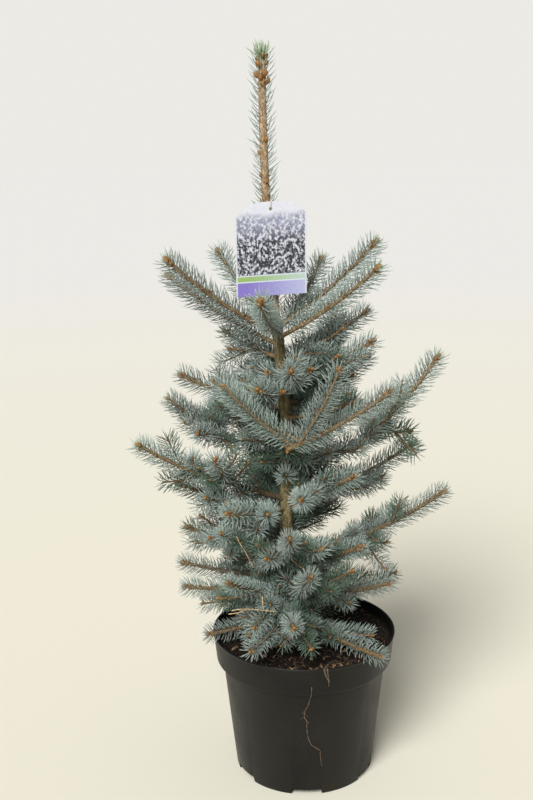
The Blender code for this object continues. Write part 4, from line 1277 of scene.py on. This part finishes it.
# The buds are small eggs of overlapping papery scales, orange-brown and a little sticky. They crowd round the
# tips and stand singly along the shoots.
BUD_SEED = 31
BUD_LENGTHS = (0.0076, 0.0076, 0.0064, 0.0042)
TOP_BUD_LENGTH = 0.0090
CLUSTER_COUNTS = ((3, 5), (3, 5), (1, 2), (0, 0))
CLUSTER_PITCH = 0.0022
CLUSTER_TURN = 2.2
BUD_SIDE_SHARE = 0.78
BUDLESS_SHARE = 0.6
LOW_BUD_SHARE = 0.86
STEM_BUD_SHARE = 0.62
SIDE_BUD_SPACING = {"top": 0.020, "crown": 0.038}
FORK_BUD_TURNS = (0.6, 2.4, 4.4)
# A bud's outline, each as a height up the bud and the half width there, rippled by the tips of the scales.
BUD_OUTLINE = (
    (0.0, 0.24), (0.14, 0.42), (0.27, 0.37), (0.40, 0.47),
    (0.58, 0.38), (0.70, 0.40), (0.88, 0.22), (1.0, 0.04),
)
BUD_BROWN = (0.350, 0.172, 0.044)
BUD_DARK = (0.130, 0.055, 0.015)
# The leader's buds, each as its height, its bearing and its length in millimetres.
LEADER_BUDS = (
    (0.875, 200, 7), (0.901, 290, 8), (0.909, 215, 7), (0.940, 190, 7), (0.958, 300, 8), (0.985, 60, 6),
    (1.012, 120, 6), (1.032, 275, 8), (1.035, 335, 10), (1.040, 255, 8), (1.043, 190, 10), (1.045, 300, 11),
    (1.046, 80, 9), (1.057, 235, 11), (1.059, 20, 8), (1.064, 150, 8), (1.068, 340, 7), (1.070, 280, 7),
)


def bud_finish():
    """Papery scales, darker at their edges, with a slight shine."""
    finish, tree, shader, scales = mottled_finish("buds", BUD_BROWN, 0.5, (BUD_DARK, 700, 0.55, 0.08))
    add_bump(tree, shader, scales["Height"], 0.5, 0.0004)
    return finish


def bud_side(direction, turn):
    """Return a unit direction square to a stem, turned round it."""
    around = Vector(direction).orthogonal()
    around.rotate(Matrix.Rotation(turn, 3, Vector(direction)))
    return np.array(around.normalized())


def place_on(shoot, travelled):
    """Return the place and the direction after a distance along a shoot."""
    places, directions = places_along(shoot, np.array((travelled,)))
    return places[0], directions[0]


def new_bud(leaning, size, foot, chance):
    """Return a bud's base, which points it along a direction at a size, and its foot."""
    roll = Matrix.Rotation(chance.uniform(0, 6.28), 3, "Z")
    return np.array(Vector(leaning).to_track_quat("Z", "Y").to_matrix() @ roll) * size, foot


chance = random.Random(BUD_SEED)
buds = []
for shoot in shoots:
    if shoot["order"] == 3 and chance.random() < BUDLESS_SHARE:
        continue
    size = TOP_BUD_LENGTH if shoot["tier"] == "top" else BUD_LENGTHS[shoot["order"]]
    size *= LOW_BUD_SHARE if shoot["tier"] in LOW_TIERS else 1.0
    spot, direction = place_on(shoot, shoot["length"] - 0.0010)
    buds.append(new_bud(direction, size, spot, chance))
    bearing = chance.uniform(0, 6.28)
    for index in range(chance.randint(*CLUSTER_COUNTS[shoot["order"]])):
        spot, direction = place_on(shoot, shoot["length"] - 0.002 - CLUSTER_PITCH * index)
        out = bud_side(direction, bearing + index * CLUSTER_TURN)
        leaning = direction + chance.uniform(0.7, 1.3) * out
        side_size = size * BUD_SIDE_SHARE * chance.uniform(0.8, 1.1)
        buds.append(new_bud(leaning, side_size, spot + out * STEM_TIP_RADIUS * 0.7, chance))
    spacing = SIDE_BUD_SPACING["top" if shoot["tier"] == "top" else "crown"]
    for _ in range(int(shoot["length"] / spacing) if shoot["order"] < 2 else 0):
        spot, direction = place_on(shoot, shoot["length"] * chance.uniform(0.2, 0.9))
        out = unit((bud_side(direction, chance.uniform(0, 6.28)) + 0.8 * UPWARD)[None])[0]
        side_size = size * STEM_BUD_SHARE * chance.uniform(0.8, 1.1)
        buds.append(new_bud(0.7 * direction + out, side_size, spot + out * STEM_TIP_RADIUS * 0.7, chance))
for course in boughs.values():
    spot, direction = point_along(course, 1.0)
    for turn in FORK_BUD_TURNS:
        out = bud_side(direction, turn)
        foot = spot + out * BOUGH_TIP_RADIUS * 0.7
        buds.append(new_bud(0.8 * direction + out, BUD_LENGTHS[2], foot, chance))
for height, bearing, millimetres in LEADER_BUDS:
    out = heading(bearing, 0)
    foot = trunk_point(height) + out * LEADER_TOP_RADIUS * 0.9
    buds.append(new_bud(out + 0.8 * UPWARD, millimetres * 0.001, foot, chance))
bud_bases, bud_feet = (np.array(part) for part in zip(*buds))
bud_mesh = strew("buds", [(upright_rod(BUD_OUTLINE, 6), bud_bases, bud_feet)])
bud_mesh.shade_smooth()
set_up("buds", bud_mesh, bud_finish(), "bark")


# The label is a printed plastic card with an arched top and a punched hole. Its print is made up for this
# part: pale sky with flecks over dark hills, a thin light stripe and a violet band, inside a pale border.
TAG_ARCH = 0.019
TAG_THICKNESS = 0.0006
TAG_HOLE_RADIUS = 0.0024
TAG_RISE = 0.055
TAG_GRID = 32
TAG_PALE = (0.58, 0.60, 0.66)
TAG_GLOW = (0.56, 0.64, 0.76)
TAG_BORDER = 0.478
# The print's bands up the card: where each starts and ends, as a share of the card's height, and its colour.
TAG_BANDS = (
    (0.000, 0.148, (0.210, 0.160, 0.500)),
    (0.150, 0.160, (0.620, 0.650, 0.720)),
    (0.162, 0.214, (0.260, 0.420, 0.120)),
    (0.216, 0.226, (0.620, 0.650, 0.720)),
    (0.228, 0.640, (0.028, 0.032, 0.046)),
    (0.840, 0.900, (0.260, 0.270, 0.370)),
    (0.970, 1.000, (0.640, 0.650, 0.730)),
)
PICTURE_FOOT = (0.225, 0.235)


def tag_bands(tree, level):
    """Return the print's colour at a level, from band to band."""
    ramp = add_node(tree, "ValToRGB", Fac=level)
    stops = [(place, colour) for start, end, colour in TAG_BANDS for place in (start, end)]
    while len(ramp.color_ramp.elements) < len(stops):
        ramp.color_ramp.elements.new(1.0)
    for element, (place, colour) in zip(ramp.color_ramp.elements, stops):
        element.position = place
        element.color = (*colour, 1.0)
    return ramp.outputs["Color"]


def tag_finish():
    """Glossy print in bands, with uneven hills, flecks in the sky, a glow low down and a pale border."""
    finish, tree, shader = new_finish("tag_card", TAG_PALE, 0.28)
    where = add_node(tree, "TexCoord").outputs["Object"]
    on_card = add_node(tree, "Mapping", Vector=where, Location=TAG_HOLE, Scale=(TAG_WIDTH, 1.0, TAG_HEIGHT))
    on_card.vector_type = "TEXTURE"
    on_card = on_card.outputs["Vector"]
    across, depth, up = add_node(tree, "SeparateXYZ", Vector=on_card).outputs
    straight = work_out(tree, "MULTIPLY_ADD", across, -TAG_RISE * TAG_WIDTH / TAG_HEIGHT, up)
    level = work_out(tree, "ADD", straight, 1 - TAG_HOLE_DROP / TAG_HEIGHT)
    swell = add_node(tree, "TexNoise", Vector=on_card, Scale=5.0, Detail=3.0).outputs["Fac"]
    rolling = work_out(tree, "MULTIPLY_ADD", swell, rescale(tree, level, 0.26, 0.45, 0.0, 0.14), level)
    flecks = add_mottle(tree, TAG_PALE, TAG_PALE, 330, 0.53, 0.05, (1.0, 1.0, 0.7))
    snow = work_out(tree, "MULTIPLY", flecks["Mask"], rescale(tree, level, *PICTURE_FOOT))
    below = rescale(tree, level, *reversed(PICTURE_FOOT))
    glow = work_out(tree, "MULTIPLY", rescale(tree, across, -0.35, 0.5, 0.0, 0.6), below)
    border = work_out(tree, "GREATER_THAN", work_out(tree, "ABSOLUTE", across), TAG_BORDER)
    behind = work_out(tree, "GREATER_THAN", depth, 0.0)
    colour = tag_bands(tree, rolling)
    for share, patch in ((snow, TAG_PALE), (glow, TAG_GLOW), (border, TAG_PALE), (behind, TAG_PALE)):
        colour = blend_colours(tree, share, colour, patch)
    feed(tree, shader.inputs["Base Color"], colour)
    feed(tree, shader.inputs["Roughness"], rescale(tree, flecks["Height"], 0.3, 0.7, 0.22, 0.36))
    return finish


card = bmesh.new()
bmesh.ops.create_grid(card, x_segments=TAG_GRID, y_segments=TAG_GRID, size=0.5)
side_height = TAG_HEIGHT - TAG_ARCH
for corner in card.verts:
    across = 2 * corner.co.x
    height = (corner.co.y + 0.5) * (side_height + TAG_ARCH * (1 - abs(across) ** 3))
    side = across * TAG_WIDTH / 2
    corner.co = (side, 0.0, height + TAG_HOLE_DROP - TAG_HEIGHT + TAG_RISE * side)
bmesh.ops.translate(card, vec=(0.0, -TAG_THICKNESS / 2, 0.0), verts=card.verts)
raised = bmesh.ops.extrude_face_region(card, geom=list(card.faces))["geom"]
raised = [part for part in raised if isinstance(part, bmesh.types.BMVert)]
bmesh.ops.translate(card, vec=(0.0, TAG_THICKNESS, 0.0), verts=raised)
bmesh.ops.recalc_face_normals(card, faces=card.faces)
bmesh.ops.translate(card, vec=TAG_HOLE, verts=card.verts)
punch = bmesh.new()
bmesh.ops.create_cone(
    punch, cap_ends=True, segments=32, radius1=TAG_HOLE_RADIUS, radius2=TAG_HOLE_RADIUS, depth=0.02,
    matrix=Matrix.Translation(TAG_HOLE) @ Matrix.Rotation(math.radians(90), 4, "X"),
)
set_up("label", cut_away(modelled_mesh("label", card), punch), tag_finish(), "tag_card", "tag")


# The tie is a loop of thin pale plastic cord, a little soiled. It runs through the label's hole, over the
# label's top edge and loosely round the leader, and the label hangs from it.
TIE_RADIUS = 0.0006
TIE_STEPS = 8
TIE_SIDES = 10
LOOP_RISE = 0.007
LOOP_SLACK = 0.0016
TIE_SHADE = (0.62, 0.60, 0.54)
TIE_PALE = (0.64, 0.62, 0.56)
TIE_DIRT = (0.40, 0.37, 0.30)


def curve_through(points, slopes, places):
    """Return a finer course through a few points, at places counted in points from the first one."""
    course = []
    for place in places:
        index = min(int(place), len(points) - 2)
        ends = (points[index], slopes[index], points[index + 1], slopes[index + 1])
        course.append(curve_between(*ends, place - index))
    return np.array(course)


def smooth_loop(points, steps):
    """Return a closed course through given points, rounded between them."""
    around = np.array((points[-1], *points, *points[:2]))
    course = curve_through(around[1:-1], (around[2:] - around[:-2]) / 2, np.arange(0, len(points), 1 / steps))
    return np.concatenate([course, course[:2]])


hole_x, tag_y, hole_z = TAG_HOLE
tag_top = hole_z + TAG_HOLE_DROP
level = tag_top + LOOP_RISE
middle = trunk_point(level)[0]
hug = trunk_radius(level) + TIE_RADIUS + LOOP_SLACK
at_hole = hole_z + TAG_HOLE_RADIUS - TIE_RADIUS - 2 * GAP
tie_route = (
    (hole_x, tag_y + 0.004, at_hole + 0.0003),
    (hole_x, tag_y, at_hole),
    (hole_x, tag_y - 0.0025, at_hole + 0.003),
    (hole_x, tag_y - 0.0022, tag_top - 0.001),
    (hole_x, tag_y, tag_top + 0.0022),
    (hole_x + 0.002, tag_y + 0.008, tag_top + 0.004),
    (middle + hug, -0.004, level),
    (middle + 0.72 * hug, 0.72 * hug, level),
    (middle, hug, level),
    (middle - 0.72 * hug, 0.72 * hug, level),
    (middle - hug, -0.002, level - 0.002),
    (middle - 0.5 * hug, tag_y + 0.009, at_hole + 0.004),
)
tie_course = smooth_loop(tie_route, TIE_STEPS)
tie_radii = np.full(len(tie_course), TIE_RADIUS)
tie_mesh = modelled_mesh("tie_cord", rod_shape(tie_course, tie_radii, TIE_SIDES), smooth=True)
tie_finish = mottled_finish("tie_plastic", TIE_SHADE, 0.45, (TIE_DIRT, 240, 0.58, 0.08), TIE_PALE)[0]
set_up("tie_cord", tie_mesh, tie_finish, "tie_plastic", "tag_tie")


# A dead rootlet hangs from the rim down the front of the pot, shreds of bark lie over the rim, and a few dry
# straws have fallen on the lower shoots. Each is a thin bent rod with a rough skin.
ROOTLET_RADIUS = 0.00078
ROOTLET_KINK = 0.0011
ROOTLET_STEPS = 60
ROOTLET_BROWN = (0.090, 0.058, 0.036)
ROOTLET_DARK = (0.055, 0.036, 0.022)
ROOTLET_PALE = (0.170, 0.118, 0.075)
# The rootlet's course down the pot, each point as its bearing in degrees and its height.
ROOTLET = (
    (272.9, 0.196), (272.6, 0.1815), (272.4, 0.173), (271.1, 0.160), (268.9, 0.151), (268.4, 0.140),
    (269.9, 0.133), (270.1, 0.121), (270.6, 0.109), (272.4, 0.095), (274.2, 0.089), (279.6, 0.080),
    (280.3, 0.069), (280.9, 0.060), (281.8, 0.051),
)
# Its side hairs: the step of its course that each leaves from, its lean to a side, and its length.
ROOT_HAIRS = (
    (17, -0.9, 0.006), (19, 0.8, 0.007), (21, -1.0, 0.007),
    (23, 0.6, 0.008), (26, 1.0, 0.005), (43, 0.7, 0.005),
)
HAIR_STEPS = 8
SHRED_STEPS = 16
RIM_SHREDS = (
    ((280.2, 0.2258), (280.9, 0.217), (281.8, 0.211), (283.0, 0.204), (283.3, 0.195)),
    ((282.0, 0.2258), (282.4, 0.2175), (283.2, 0.207), (283.7, 0.201)),
)
STRAWS = (
    ((-0.111, -0.122, 0.305), (-0.097, -0.122, 0.307), (-0.081, -0.122, 0.312), (-0.042, -0.122, 0.308)),
    ((-0.106, -0.123, 0.311), (-0.092, -0.123, 0.313), (-0.075, -0.123, 0.3125)),
    ((-0.098, -0.095, 0.412), (-0.093, -0.095, 0.401), (-0.085, -0.095, 0.387), (-0.075, -0.095, 0.364)),
    ((-0.062, -0.123, 0.332), (-0.062, -0.123, 0.322), (-0.061, -0.123, 0.313)),
)
STRAW_RADIUS = 0.0008
STRAW_STEPS = 22
STRAW_SHADE = (0.60, 0.42, 0.22)
STRAW_PALE = (0.62, 0.44, 0.23)
STRAW_DARK = (0.40, 0.25, 0.12)


def smooth_course(points, steps):
    """Return an open course through given points, curved between them."""
    points = np.array(points)
    return curve_through(points, np.gradient(points, axis=0), np.linspace(0, len(points) - 1, steps))


def course_on_pot(places, proud, steps):
    """Return a course down the pot's outer face, a little proud of it."""
    points = []
    for bearing, height in places:
        points.append(heading(bearing, 0) * (pot_radius(height) + proud) + UPWARD * height)
    return smooth_course(points, steps)


def waver(heights, seat, fineness):
    """Return a smooth random value for each height."""
    return np.array([noise.noise(Vector((seat, 0.0, height * fineness))) for height in heights])


rootlet = course_on_pot(ROOTLET, 0.0006, ROOTLET_STEPS)
rootlet[:, 0] += ROOTLET_KINK * waver(rootlet[:, 2], 0.0, 260)
root_rods = [rod_arrays(rootlet, ROOTLET_RADIUS * (0.85 + 0.7 * waver(rootlet[:, 2], 3.0, 330)), 6)]
for index, side, length in ROOT_HAIRS:
    part = np.linspace(0, 1, HAIR_STEPS)[:, None]
    hair = rootlet[index] + part * length * (side * heading(0, 0) - 0.8 * UPWARD)
    hair[:, 0] += 0.0005 * np.sin(np.linspace(0, 5, HAIR_STEPS) + index)
    root_rods.append(rod_arrays(hair, np.linspace(0.00045, 0.0002, HAIR_STEPS), 5))
shred_radii = np.linspace(ROOTLET_RADIUS * 2.0, ROOTLET_RADIUS * 0.5, SHRED_STEPS)
for places in RIM_SHREDS:
    root_rods.append(rod_arrays(course_on_pot(places, 0.0012, SHRED_STEPS), shred_radii, 6))
rootlet_mottle = (ROOTLET_PALE, 330, 0.50, 0.12)
rootlet_finish = mottled_finish("dead_rootlet", ROOTLET_BROWN, 0.85, rootlet_mottle, ROOTLET_DARK)[0]
set_up("rootlet", join_rods("rootlet", root_rods), rootlet_finish, "compost")
straw_radii = np.linspace(STRAW_RADIUS, STRAW_RADIUS * 0.6, STRAW_STEPS)
straw_rods = [rod_arrays(smooth_course(points, STRAW_STEPS), straw_radii, 5) for points in STRAWS]
straw_finish = mottled_finish("dry_straw", STRAW_SHADE, 0.7, (STRAW_DARK, 150, 0.55, 0.1), STRAW_PALE)[0]
set_up("dry_straws", join_rods("dry_straws", straw_rods), straw_finish, "bark")
